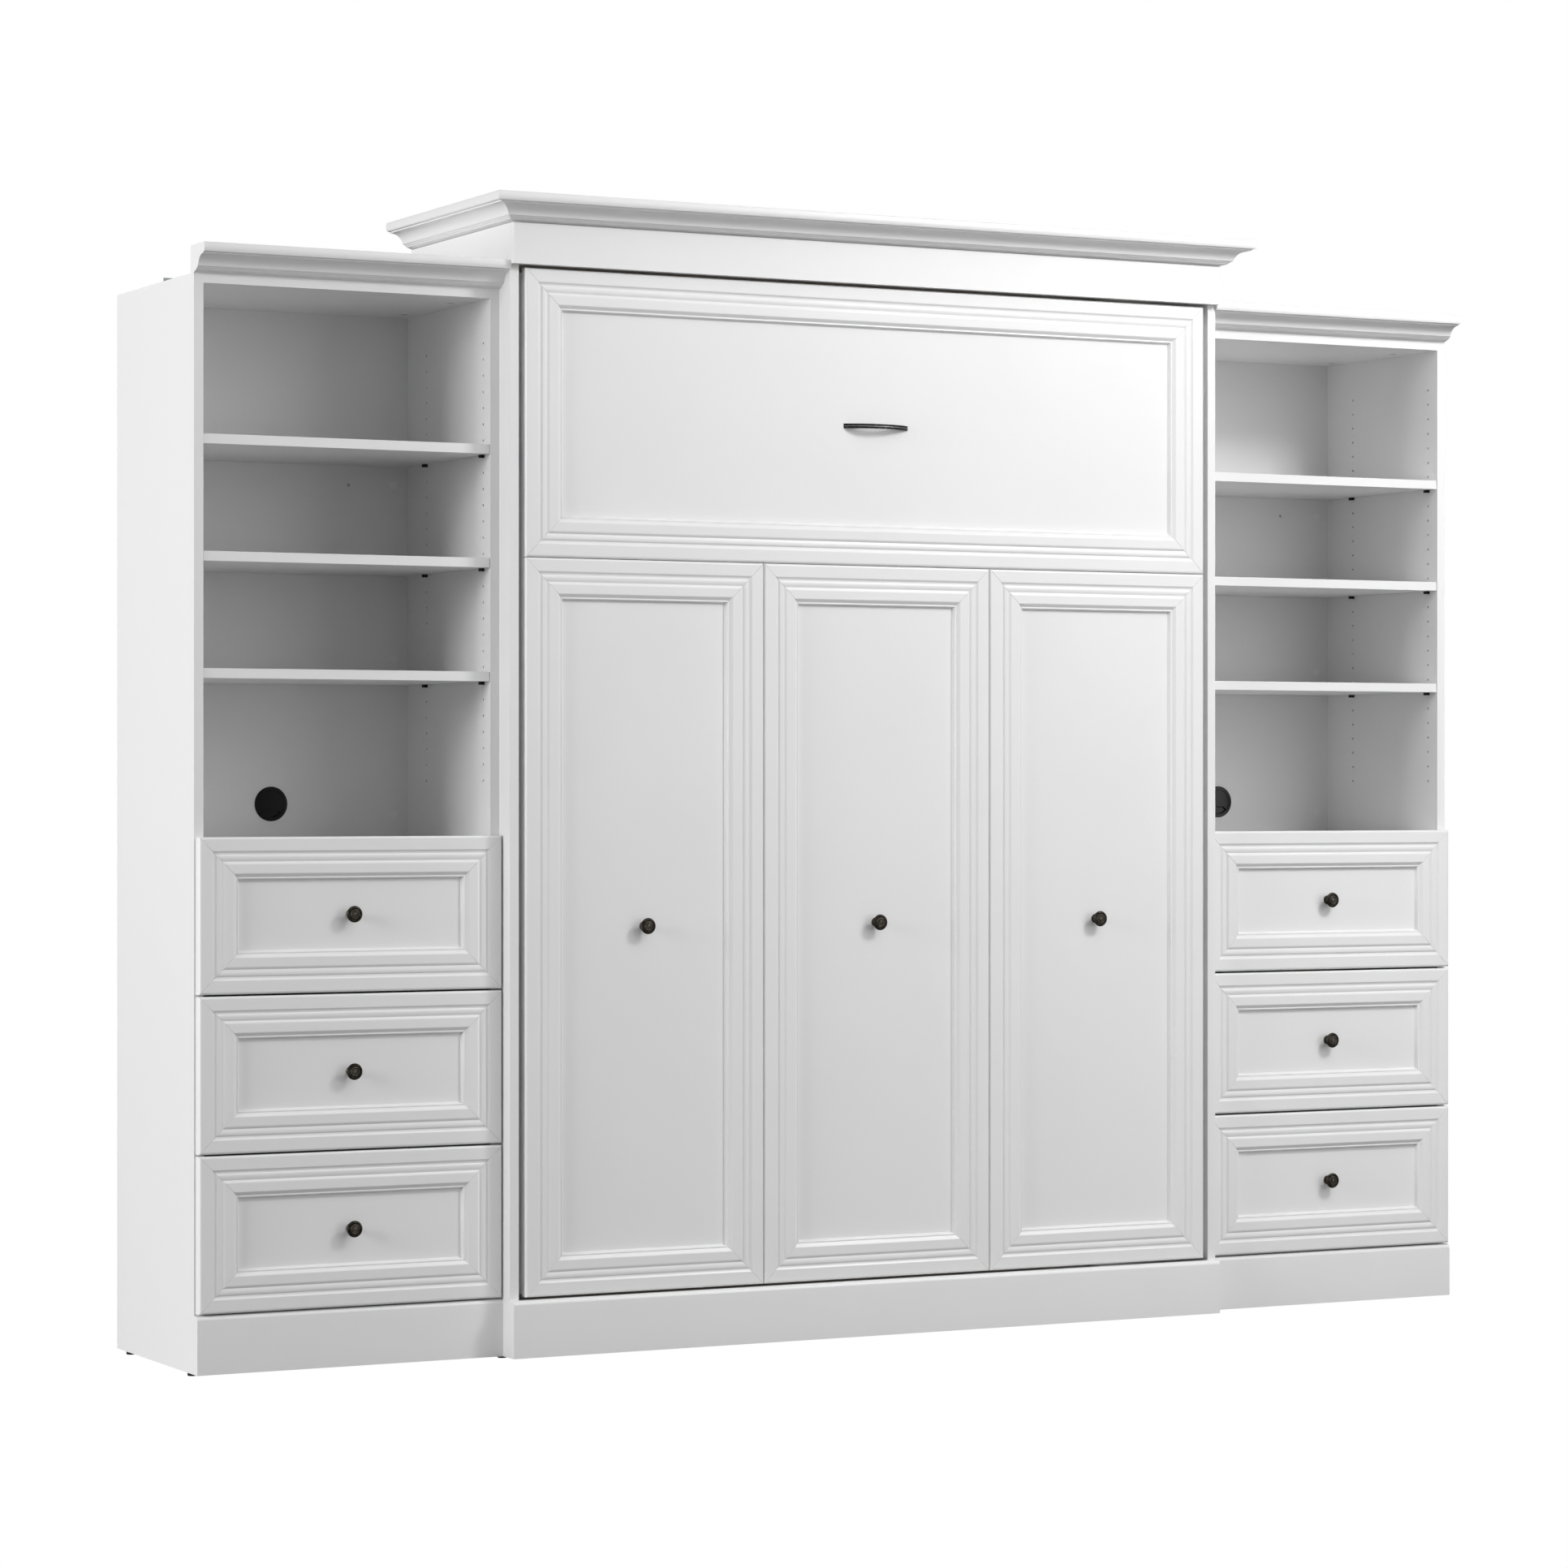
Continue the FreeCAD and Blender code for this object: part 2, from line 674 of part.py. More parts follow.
# Framed fronts
bead_start = frame_flat + quirk_width
bead_stop = bead_start + bead_width
arc = edge_round * (1 - math.sqrt(0.5))
frame_steps = [
    (0, edge_round),
    (arc, arc, edge_round, 0),
    (frame_flat, 0),
    (frame_flat + quirk_slope, quirk_depth),
    (bead_start, quirk_depth),
    (bead_start + bead_width * 0.45, bead_crown, bead_stop, quirk_depth),
    (bead_stop + bead_rise * 0.42, quirk_depth * 0.4, bead_stop + bead_rise, 0),
    (slope_start, 0),
    (slope_end, slope_depth),
    (lip_start, slope_depth),
    (frame_width, recess),
    (frame_width - rebate, recess),
    (frame_width - rebate, frame_thick),
    (back_edge, frame_thick),
    (0, frame_thick - back_edge),
]


def frame_member(length, x, z, turn, front):
    """One mitred frame piece, outer edge at x, z, turned about the depth axis; front is its distance out."""
    half = length / 2
    face = section(frame_steps, lambda w, t: V(-half, t, w))
    bar = face.extrude(V(length, 0, 0))
    gap = mitre_gap * math.sqrt(0.5)
    points = [V(gap - half, -1, -0.001), V(half - gap, -1, -0.001), V(half - frame_width - gap, -1, frame_width),
              V(frame_width + gap - half, -1, frame_width)]
    wedge = Part.Face(Part.makePolygon(points + points[:1])).extrude(V(0, frame_thick + 2, 0))
    bar = bar.common(wedge)
    spin = FreeCAD.Rotation(ALONG_Y, turn)
    bar.Placement = FreeCAD.Placement(V(x, rear - front, z), spin)
    return bar


def framed_front(x0, x1, z0, z1, front):
    """Four frame pieces and the infill behind their rebate."""
    middle_x = (x0 + x1) / 2
    middle_z = (z0 + z1) / 2
    pieces = [frame_member(x1 - x0, middle_x, z0, 0, front), frame_member(z1 - z0, x0, middle_z, 90, front)]
    pieces += [frame_member(x1 - x0, middle_x, z1, 180, front), frame_member(z1 - z0, x1, middle_z, 270, front)]
    edge = frame_width - rebate + fit
    infill_front = front - recess
    pieces.append(block(x0 + edge, x1 - edge, infill_front - infill_thick, infill_front,
                        z0 + edge, z1 - edge))
    return pieces


door_top = face_split - face_gap / 2
door_edges = (-face_half, -door_split - face_gap / 2), (-door_split + face_gap / 2, door_split - face_gap / 2), \
    (door_split + face_gap / 2, face_half)
door_names = "door_front_left", "door_front_centre", "door_front_right"
bed_knobs = []
for name, edges in zip(door_names, door_edges):
    save(name, framed_front(edges[0], edges[1], face_bottom, door_top, face_front))
top_front = framed_front(-face_half, face_half, face_split + face_gap / 2, face_top, face_front)
for edges in door_edges:
    bed_knobs.append(knob(sum(edges) / 2, recess_front, bed_knob_height))
backing_low = face_bottom + 4
backing_high = face_top - 8
backing = [block(-backing_half, backing_half, backing_back, face_back, backing_low, backing_high)]
for side in SIDES:
    backing.append(block(side * (backing_half - batten_wide), side * backing_half,
                         backing_back - batten_thick, backing_back, backing_low, backing_high))

# Steel frame of the bed, welded from square-cut tubes
rail_inner = rail_outer - rail_wide


def tube(x0, x1, z0, z1, lengthwise):
    """A steel tube as deep as the frame; lengthwise is X or Z."""
    outside = block(x0, x1, rail_back, backing_back, z0, z1)
    wall_x = tube_wall if lengthwise == "Z" else -1
    wall_z = tube_wall if lengthwise == "X" else -1
    low, high = sorted((x0, x1))
    inside = block(low + wall_x, high - wall_x, rail_back + tube_wall, backing_back - tube_wall,
                   z0 + wall_z, z1 - wall_z)
    return outside.cut(inside)


tubes = [tube(side * rail_inner, side * rail_outer, frame_low, frame_high, "Z") for side in SIDES]
tubes += [tube(-rail_inner, rail_inner, z, z + rail_wide, "X") for z in cross_heights]
for below, above in zip(cross_heights, cross_heights[1:]):
    tubes.append(tube(-rail_wide / 2, rail_wide / 2, below + rail_wide, above, "Z"))
retainer_run = 120.0
retainer_half = 350.0
retainer_metal = 4.0
retainer_wide = 30.0
retainer_rear = rail_back - retainer_run
retainer = [block(-retainer_half, retainer_half, retainer_rear, retainer_rear + retainer_wide,
                  frame_high, frame_high + retainer_metal)]
for side in SIDES:
    retainer.append(block(side * retainer_half, side * (retainer_half - retainer_wide),
                          retainer_rear + retainer_wide, rail_back + 50,
                          frame_high, frame_high + retainer_metal))

# Slats in their holders
slats = []
holders = []
for k in range(slat_count):
    z = slat_first + k * slat_pitch
    wall_side = rail_back - holder_deep
    slat_low = wall_side + holder_wall
    slats.append(block(-slat_half, slat_half, slat_low, slat_low + slat_thick,
                       z - slat_wide / 2, z + slat_wide / 2))
    for side in SIDES:
        inner = side * (rail_outer - 4 - holder_wide)
        cup = block(inner, side * (rail_outer - 4), wall_side, rail_back, z - holder_tall / 2, z + holder_tall / 2)
        pocket = block(inner - side, side * (slat_half + 2 * fit), slat_low - fit, slat_low + slat_thick + fit,
                       z - slat_wide / 2 - fit, z + slat_wide / 2 + fit)
        holders.append(cup.cut(pocket))

# Swinging arms with the pivot pin and the lower strut pin, and the pins of the legs
arms = []
leg_pins = []
for side in SIDES:
    out = ALONG_X * side
    arm_face = rail_outer + arm_thick
    plate = block(side * rail_outer, side * arm_face, arm_rear, backing_back, frame_low, arm_top)
    plate = rounded(plate, 12, lambda p: near(p.y, rear - arm_rear), across=True)
    pivot = rod(side * rail_outer, pivot_wall, pivot_height, out, bed_inner - 0.5 - rail_outer, pivot_pin)
    collar = rod(side * rail_outer, lower_wall, lower_height, out, eye_inner - running_gap - rail_outer, pin_head)
    shaft = rod(side * rail_outer, lower_wall, lower_height, out, eye_outer + 3 - rail_outer, strut_pin)
    head = rod(side * (eye_outer + running_gap), lower_wall, lower_height, out, 3, pin_head)
    arms.append(joined([plate, pivot, collar, shaft, head]))
    collar = rod(side * rail_outer, leg_pivot_wall, leg_pivot_height, out,
                 leg_inner - running_gap - rail_outer, leg_pin + 3)
    shaft = rod(side * rail_outer, leg_pivot_wall, leg_pivot_height, out, leg_outer + 1.5 - rail_outer, leg_pin)
    head = rod(side * (leg_outer + running_gap), leg_pivot_wall, leg_pivot_height, out, 1.7, leg_pin + 3)
    leg_pins.append(joined([collar, shaft, head]))

# Legs that stay upright
leg_low = leg_pivot_height - (pivot_height - (leg_pivot_wall - pivot_wall)) + running_gap
leg_names = "leg_left", "leg_right"
for name, side in zip(leg_names, SIDES):
    bar = block(side * leg_inner, side * leg_outer, leg_pivot_wall - leg_wide / 2, leg_pivot_wall + leg_wide / 2,
                leg_low, leg_pivot_height)
    eye = rod(side * leg_inner, leg_pivot_wall, leg_pivot_height, ALONG_X * side, leg_outer - leg_inner, leg_wide / 2)
    leg = rounded(joined([bar, eye]), 8, lambda p: near(p.z, leg_low), across=True)
    save(name, [leg.cut(rod(side * (leg_inner - 1), leg_pivot_wall, leg_pivot_height, ALONG_X * side, 9,
                            leg_pin + running_gap))])

# Gas struts: a tube on the cabinet and a rod on the swinging arm
run = V(0, upper_wall - lower_wall, lower_height - upper_height)
strut_reach = run.Length
down = run / strut_reach
strut_names = "left", "right"
for name, side in zip(strut_names, SIDES):
    upper = V(side * strut_plane, rear - upper_wall, upper_height)
    lower = V(side * strut_plane, rear - lower_wall, lower_height)
    side_step = V(eye_half, 0, 0)
    tube_end = strut_start + strut_length
    eye = Part.makeCylinder(eye_radius, 2 * eye_half, upper - side_step, ALONG_X)
    stem = Part.makeCylinder(eye_half - 0.3, strut_start + 1, upper, down)
    barrel = Part.makeCylinder(strut_radius, strut_length, upper + down * strut_start, down)
    body = joined([eye, stem, barrel])
    bore = Part.makeCylinder(strut_bore, strut_length - strut_plug - strut_gland,
                             upper + down * (strut_start + strut_plug), down)
    gland = Part.makeCylinder(strut_rod + running_gap, strut_gland + 2,
                              upper + down * (tube_end - strut_gland - 1), down)
    hole = Part.makeCylinder(strut_pin + running_gap, 2 * eye_half + 2, upper - side_step - V(1, 0, 0), ALONG_X)
    save("strut_tube_" + name, [less(body, [bore, gland, hole])])
    eye = Part.makeCylinder(eye_radius, 2 * eye_half, lower - side_step, ALONG_X)
    bar = Part.makeCylinder(strut_rod, strut_rod_length, lower, -down)
    piston = Part.makeCylinder(piston_radius, piston_length,
                               lower - down * (strut_rod_length - piston_length), -down)
    hole = Part.makeCylinder(strut_pin + running_gap, 2 * eye_half + 2, lower - side_step - V(1, 0, 0), ALONG_X)
    save("strut_rod_" + name, [joined([eye, bar, piston]).cut(hole)])

# Drawers
level_names = "low", "middle", "high"


def drawer(name, middle, low):
    """One drawer: its front, its box with the moving runner halves, and its knob."""
    half = side_width / 2 - drawer_reveal
    front_d = drawer_back + frame_thick
    save("drawer_front_" + name, framed_front(middle - half, middle + half, low, low + drawer_height, front_d))
    save("drawer_knob_" + name, [knob(middle, front_d - recess, low + drawer_height / 2)])
    outer = side_inner - runner_space
    inner = outer - box_board
    z0 = low + box_lift
    z1 = z0 + box_height
    tray_low = z0 + box_bottom_lift
    deep = 6.0
    tray = block(middle - inner - deep, middle + inner + deep, box_rear + box_board - deep,
                 drawer_back - box_board + deep, tray_low, tray_low + back_thick)
    slot = block(middle - inner - deep - fit, middle + inner + deep + fit, box_rear + box_board - deep - fit,
                 drawer_back - box_board + deep + fit, tray_low, tray_low + back_thick + fit)
    pieces = [tray]
    for end in SIDES:
        pieces.append(block(middle + end * inner, middle + end * outer, box_rear, drawer_back, z0, z1).cut(slot))
        side_face = middle + end * outer
        z = low + runner_lift + box_lift - box_bottom_lift
        half_high = runner_height / 2 - runner_metal - 0.5
        tip = side_face + end * (runner_space - runner_metal - 1.5)
        rail = block(side_face, tip, box_rear + 1, runner_front, z - half_high, z + half_high)
        hollow = block(side_face + end * runner_metal, tip, box_rear, runner_front + 1,
                       z - half_high + runner_metal, z + half_high - runner_metal)
        pieces.append(rail.cut(hollow))
    pieces.append(block(middle - inner, middle + inner, box_rear, box_rear + box_board, z0, z1).cut(slot))
    pieces.append(block(middle - inner, middle + inner, drawer_back - box_board, drawer_back, z0, z1).cut(slot))
    save("drawer_box_" + name, pieces)


for column, side in zip(strut_names, SIDES):
    for level, low in zip(level_names, drawer_lows):
        drawer(column + "_" + level, side * side_centre, low)

# The remaining nodes
save("side_cabinet_panels", panels)
save("side_cabinet_boards", boards)
save("side_cabinet_backs", backs)
save("adjustable_shelves", shelves)
save("shelf_pins", pins)
save("plinth_boards", plinths)
save("side_crowns", side_crowns)
save("cable_grommets", grommets)
save("cover_caps", caps)
save("glide_feet", feet)
save("fixed_runners", fixed_runners)
save("fixing_screws", screws)
save("wooden_dowels", dowels)
save("cam_fittings", cams)
save("wall_brackets", brackets)
save("back_rails", stretchers)
save("bed_side_panels", bed_panels)
save("bed_top_board", [top_board])
save("frieze_board", [frieze])
save("bed_crown", bed_crown)
save("headboard_panel", [headboard])
save("corner_blocks", corner_blocks)
save("pivot_plates", pivot_plates)
save("top_front", top_front)
save("bed_knobs", bed_knobs)
save("bed_handle", [handle])
save("backing_panel", backing)
save("steel_frame", tubes)
save("mattress_retainer", retainer)
save("bed_slats", slats)
save("slat_holders", holders)
save("swing_arms", arms)
save("leg_pins", leg_pins)
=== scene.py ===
import bpy
import bmesh
import json
import math
from mathutils import Matrix, Vector

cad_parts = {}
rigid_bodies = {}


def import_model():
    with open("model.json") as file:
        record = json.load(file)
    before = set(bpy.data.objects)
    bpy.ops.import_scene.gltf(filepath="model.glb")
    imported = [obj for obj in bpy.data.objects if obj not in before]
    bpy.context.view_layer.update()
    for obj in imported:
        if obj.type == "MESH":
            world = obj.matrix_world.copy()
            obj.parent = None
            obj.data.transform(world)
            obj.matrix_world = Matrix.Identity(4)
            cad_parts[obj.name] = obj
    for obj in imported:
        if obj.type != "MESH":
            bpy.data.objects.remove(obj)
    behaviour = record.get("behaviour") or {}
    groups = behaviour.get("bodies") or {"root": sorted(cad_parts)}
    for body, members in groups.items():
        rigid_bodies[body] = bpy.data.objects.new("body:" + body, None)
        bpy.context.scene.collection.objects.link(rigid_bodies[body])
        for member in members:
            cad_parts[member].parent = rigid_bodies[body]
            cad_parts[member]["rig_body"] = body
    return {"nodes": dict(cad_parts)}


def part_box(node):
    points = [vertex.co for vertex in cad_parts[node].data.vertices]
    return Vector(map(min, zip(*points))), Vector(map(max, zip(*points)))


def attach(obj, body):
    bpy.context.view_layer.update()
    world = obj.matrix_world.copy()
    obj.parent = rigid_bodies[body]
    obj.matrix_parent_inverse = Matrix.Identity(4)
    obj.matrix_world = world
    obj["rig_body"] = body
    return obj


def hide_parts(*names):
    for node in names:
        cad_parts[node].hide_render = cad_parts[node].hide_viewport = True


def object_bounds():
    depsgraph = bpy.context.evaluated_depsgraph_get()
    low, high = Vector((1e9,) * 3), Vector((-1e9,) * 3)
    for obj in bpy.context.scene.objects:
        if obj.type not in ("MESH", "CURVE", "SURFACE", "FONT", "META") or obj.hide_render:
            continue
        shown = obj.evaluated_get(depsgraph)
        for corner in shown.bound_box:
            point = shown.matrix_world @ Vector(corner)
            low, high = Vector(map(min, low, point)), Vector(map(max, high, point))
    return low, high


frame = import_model()
cad_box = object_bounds()
nodes = frame["nodes"]
MM = 0.001

LEVELS = ("low", "middle", "high")
SIDES = ("left", "right")
DRAWERS = [f"{side}_{level}" for side in SIDES for level in LEVELS]


# Materials

def linear(code):
    """An sRGB hex colour as the linear colour a shader takes."""
    parts = [int(code[i:i + 2], 16) / 255 for i in (0, 2, 4)]
    return tuple(c / 12.92 if c <= 0.04045 else ((c + 0.055) / 1.055) ** 2.4 for c in parts) + (1.0,)


def wire(tree, node, joins):
    """Links outputs of other nodes into a node's sockets."""
    for name, (source, output) in joins.items():
        tree.links.new(source.outputs[output], node.inputs[name])


def add(tree, kind, put=None, join=None, **settings):
    """Adds a node with its properties, its socket values and its links."""
    made = tree.nodes.new(kind)
    for name, value in settings.items():
        setattr(made, name, value)
    for name, value in (put or {}).items():
        made.inputs[name].default_value = value
    wire(tree, made, join or {})
    return made


def surface(name, **shader_values):
    """A new material with its shader, and Object coordinates to read patterns from."""
    finish = bpy.data.materials.new(name)
    finish.use_nodes = True
    tree = finish.node_tree
    tree.nodes.clear()
    values = {socket.replace("_", " "): value for socket, value in shader_values.items()}
    shader = add(tree, "ShaderNodeBsdfPrincipled", put=values)
    add(tree, "ShaderNodeOutputMaterial", join={"Surface": (shader, "BSDF")})
    place = add(tree, "ShaderNodeTexCoord")
    return finish, tree, shader, place


def per_mm(size):
    """The scale of a texture whose features are this many millimetres apart."""
    return 1.0 / (size * MM)


def white_coat(name, body="F2F2F2", shade="EDEDED", gloss=0.36, peel=2.2):
    """A satin white coat on board: nearly even, with the faint texture of the spray gun or the
    press, peel mm apart, and a slow change of sheen where the coat is a little thicker."""
    finish, tree, shader, place = surface(name, IOR=1.5)
    slow = add(tree, "ShaderNodeTexNoise", put={"Scale": per_mm(260), "Detail": 3.0},
               join={"Vector": (place, "Object")})
    tone = add(tree, "ShaderNodeMix", data_type="RGBA", put={"A": linear(body), "B": linear(shade)},
               join={"Factor": (slow, "Fac")})
    sheen = add(tree, "ShaderNodeMapRange", put={"To Min": gloss - 0.04, "To Max": gloss + 0.05},
                join={"Value": (slow, "Fac")})
    fine = add(tree, "ShaderNodeTexNoise", put={"Scale": per_mm(peel), "Detail": 2.0},
               join={"Vector": (place, "Object")})
    bump = add(tree, "ShaderNodeBump", put={"Strength": 0.12, "Distance": 0.05 * MM},
               join={"Height": (fine, "Fac")})
    wire(tree, shader, {"Base Color": (tone, "Result"), "Roughness": (sheen, "Result"),
                        "Normal": (bump, "Normal")})
    return finish


def plain_plastic(name, colour, gloss, grain=0.6, depth=0.2, glint=0.5):
    """Injection-moulded plastic: one even colour, with the grain that its mould leaves. A real
    mould's grain is too fine to show, so it is drawn several times coarser."""
    finish, tree, shader, place = surface(
        name, IOR=1.49, Base_Color=linear(colour), Roughness=gloss, Specular_IOR_Level=glint)
    fine = add(tree, "ShaderNodeTexNoise", put={"Scale": per_mm(grain), "Detail": 2.0},
               join={"Vector": (place, "Object")})
    bump = add(tree, "ShaderNodeBump", put={"Strength": depth, "Distance": 0.03 * MM},
               join={"Height": (fine, "Fac")})
    wire(tree, shader, {"Normal": (bump, "Normal")})
    return finish


def rubbed_and_lit_cast(name, deep, rubbed_highlight_colour, grain=7.0):
    """Cast zinc, plated dark and then rubbed back: nearly black where the patina stayed in the
    hollows, and greyer where the mesh marks wear on the crests and painted highlights, with a soft
    waxed sheen over the fine skin of the casting."""
    finish, tree, shader, place = surface(name, Metallic=1.0)
    cloud = add(tree, "ShaderNodeTexNoise", put={"Scale": per_mm(grain), "Detail": 6.0, "Roughness": 0.6},
                join={"Vector": (place, "Object")})
    # The mesh's share of wear and painted highlight: real wear on the crests, and highlights painted in as
    # greyer colour where light catches the metal
    crest = add(tree, "ShaderNodeAttribute", attribute_name="wear_and_highlight")
    uneven = add(tree, "ShaderNodeMapRange",
                 put={"From Min": 0.3, "From Max": 0.7, "To Min": -0.22, "To Max": 0.22},
                 join={"Value": (cloud, "Fac")})
    wear_and_highlight_share = add(tree, "ShaderNodeMath", operation="ADD", use_clamp=True,
               join={0: (crest, "Fac"), 1: (uneven, "Result")})
    tone = add(tree, "ShaderNodeMix", data_type="RGBA", put={"A": linear(deep), "B": linear(rubbed_highlight_colour)},
               join={"Factor": (wear_and_highlight_share, "Value")})
    sheen = add(tree, "ShaderNodeMapRange", put={"To Min": 0.46, "To Max": 0.62},
                join={"Value": (cloud, "Fac")})
    fine = add(tree, "ShaderNodeTexNoise", put={"Scale": per_mm(0.8), "Detail": 3.0},
               join={"Vector": (place, "Object")})
    bump = add(tree, "ShaderNodeBump", put={"Strength": 0.25, "Distance": 0.04 * MM},
               join={"Height": (fine, "Fac")})
    wire(tree, shader, {"Base Color": (tone, "Result"), "Roughness": (sheen, "Result"),
                        "Normal": (bump, "Normal")})
    return finish


def streaked_metal(name, colour, streak, gloss, crowd, pitch):
    """Metal worked in one direction: fine streaks in its colour, its sheen and its surface. They
    lie crowd times closer along each axis than pitch, which is coarser than real ones, to show."""
    finish, tree, shader, place = surface(name, Metallic=1.0)
    stretch = add(tree, "ShaderNodeMapping", put={"Scale": crowd}, join={"Vector": (place, "Object")})
    lines = add(tree, "ShaderNodeTexNoise", put={"Scale": per_mm(pitch), "Detail": 5.0},
                join={"Vector": (stretch, "Vector")})
    tone = add(tree, "ShaderNodeMix", data_type="RGBA", put={"A": linear(colour), "B": linear(streak)},
               join={"Factor": (lines, "Fac")})
    sheen = add(tree, "ShaderNodeMapRange", put={"To Min": gloss - 0.06, "To Max": gloss + 0.08},
                join={"Value": (lines, "Fac")})
    bump = add(tree, "ShaderNodeBump", put={"Strength": 0.2, "Distance": 0.03 * MM},
               join={"Height": (lines, "Fac")})
    wire(tree, shader, {"Base Color": (tone, "Result"), "Roughness": (sheen, "Result"),
                        "Normal": (bump, "Normal")})
    return finish


def powder_coat(name, colour, shade, gloss):
    """Powder or paint baked on steel: an even colour with a coarse, soft orange peel."""
    finish, tree, shader, place = surface(name, IOR=1.5, Roughness=gloss)
    grain = add(tree, "ShaderNodeTexNoise", put={"Scale": per_mm(1.6), "Detail": 3.0},
                join={"Vector": (place, "Object")})
    tone = add(tree, "ShaderNodeMix", data_type="RGBA", put={"A": linear(colour), "B": linear(shade)},
               join={"Factor": (grain, "Fac")})
    bump = add(tree, "ShaderNodeBump", put={"Strength": 0.3, "Distance": 0.08 * MM},
               join={"Height": (grain, "Fac")})
    wire(tree, shader, {"Base Color": (tone, "Result"), "Normal": (bump, "Normal")})
    return finish


def sawn_wood(name, pale, dark, crowd=(1, 12, 12), gloss=0.5):
    """Wood with its grain along X: dark and pale bands with fine pores between them. Both lie
    crowd times closer along the other axes than the sizes given here."""
    finish, tree, shader, place = surface(name, IOR=1.5, Roughness=gloss)
    stretch = add(tree, "ShaderNodeMapping", put={"Scale": crowd}, join={"Vector": (place, "Object")})
    bands = add(tree, "ShaderNodeTexNoise", put={"Scale": per_mm(60), "Detail": 8.0, "Distortion": 0.6},
                join={"Vector": (stretch, "Vector")})
    tone = add(tree, "ShaderNodeValToRGB", join={"Fac": (bands, "Fac")})
    for stop, position, colour in zip(tone.color_ramp.elements, (0.3, 0.65), (dark, pale)):
        stop.position = position
        stop.color = linear(colour)
    pores = add(tree, "ShaderNodeTexNoise", put={"Scale": per_mm(8), "Detail": 4.0},
                join={"Vector": (stretch, "Vector")})
    bump = add(tree, "ShaderNodeBump", put={"Strength": 0.2, "Distance": 0.1 * MM},
               join={"Height": (pores, "Fac")})
    wire(tree, shader, {"Base Color": (tone, "Color"), "Normal": (bump, "Normal")})
    return finish


# Sprayed boards: a broad soft sheen on flat white, a little glossier on the mouldings
board_white = white_coat("satin_white_lacquered_board")
moulding_white = white_coat("satin_white_lacquered_moulding", gloss=0.33, peel=1.8)
# Pressed melamine: a shade greyer and flatter than lacquer, with the press plate's finer texture
melamine_white = white_coat("white_melamine_shelf_board", body="F0F0F0", shade="ECECEC",
                               gloss=0.42, peel=1.2)
# Printed foil on hardboard: the dullest of the whites, so the niches look quiet behind the shelves
back_white = white_coat("white_foil_hardboard_back", body="EDEDED", shade="E8E8E8", gloss=0.5, peel=1.0)
# Baked epoxy on the runners: white with a soft shine
runner_white = powder_coat("white_epoxy_coated_steel", "EDEDED", "E6E6E6", 0.35)
# Cover caps: white, a little waxy
cap_white = plain_plastic("white_moulded_polyethylene", "F0F0F0", 0.4)
# Rubbed casts: dark hollows and worn grey crests draw the rings of the knobs and the handle's ridges, with
# painted highlights in the same grey
knob_bronze = rubbed_and_lit_cast("antique_bronze_on_zinc", "26231F", "817A71")
handle_pewter = rubbed_and_lit_cast("antique_pewter_on_zinc", "1C1C1C", "A2A1A0", grain=4.0)
# Polished mould: a mirror-like black disc whose slow waves bend what it mirrors
grommet_black = plain_plastic("gloss_black_abs", "030303", 0.1, grain=3.0, depth=0.03, glint=0.3)
# Grained mould: black that stays dull from every side
part_black = plain_plastic("matt_black_nylon", "070707", 0.5, glint=0.3)
# Rolled strip, zinc plated: cool grey with dull streaks that lie level
zinc_plate = streaked_metal("zinc_plated_steel", "9AA0A4", "B9BEC1", 0.32, crowd=(1, 1, 4), pitch=6.0)
# Ground and chromed: bright, with fine rings round the rod
rod_chrome = streaked_metal("ground_and_chromed_rod", "B8BABC", "D2D3D4", 0.12, crowd=(1, 1, 10), pitch=2.0)
# Powder and paint on steel: dark and soft on the frame, blacker and shinier on the strut tubes
frame_grey = powder_coat("grey_powder_coated_steel", "4A4D50", "54575A", 0.42)
strut_black = powder_coat("black_painted_steel", "0C0C0D", "121213", 0.3)
# Lacquered birch shows fine pale bands with a sheen, raw beech broader and duller ones
slat_birch = sawn_wood("laminated_birch_slat", "D9B98A", "B98F5C")
dowel_beech = sawn_wood("plain_beech", "D2A878", "B08252", crowd=(1, 8, 8), gloss=0.65)

finish_of = {
    "side_cabinet_panels": board_white, "side_cabinet_boards": board_white,
    "side_cabinet_backs": back_white, "adjustable_shelves": melamine_white,
    "plinth_boards": board_white, "side_crowns": moulding_white, "back_rails": melamine_white,
    "bed_side_panels": board_white, "bed_top_board": board_white, "frieze_board": board_white,
    "bed_crown": moulding_white, "headboard_panel": board_white, "corner_blocks": dowel_beech,
    "shelf_pins": part_black, "cable_grommets": grommet_black, "cover_caps": cap_white,
    "glide_feet": part_black, "fixed_runners": runner_white, "fixing_screws": zinc_plate,
    "wooden_dowels": dowel_beech, "cam_fittings": zinc_plate, "wall_brackets": zinc_plate,
    "pivot_plates": zinc_plate, "door_front_left": moulding_white, "door_front_centre": moulding_white,
    "door_front_right": moulding_white, "top_front": moulding_white, "bed_knobs": knob_bronze,
    "bed_handle": handle_pewter, "backing_panel": back_white, "steel_frame": frame_grey,
    "mattress_retainer": frame_grey, "bed_slats": slat_birch, "slat_holders": part_black,
    "swing_arms": zinc_plate, "leg_pins": zinc_plate, "leg_left": frame_grey, "leg_right": frame_grey,
}
for side in SIDES:
    finish_of["strut_tube_" + side] = strut_black
    finish_of["strut_rod_" + side] = rod_chrome
for drawer in DRAWERS:
    finish_of["drawer_front_" + drawer] = board_white
    finish_of["drawer_box_" + drawer] = melamine_white
    finish_of["drawer_knob_" + drawer] = knob_bronze

for name, thing in nodes.items():
    thing.data.materials.clear()
    thing.data.materials.append(finish_of[name])


# What the pieces made in mesh code share

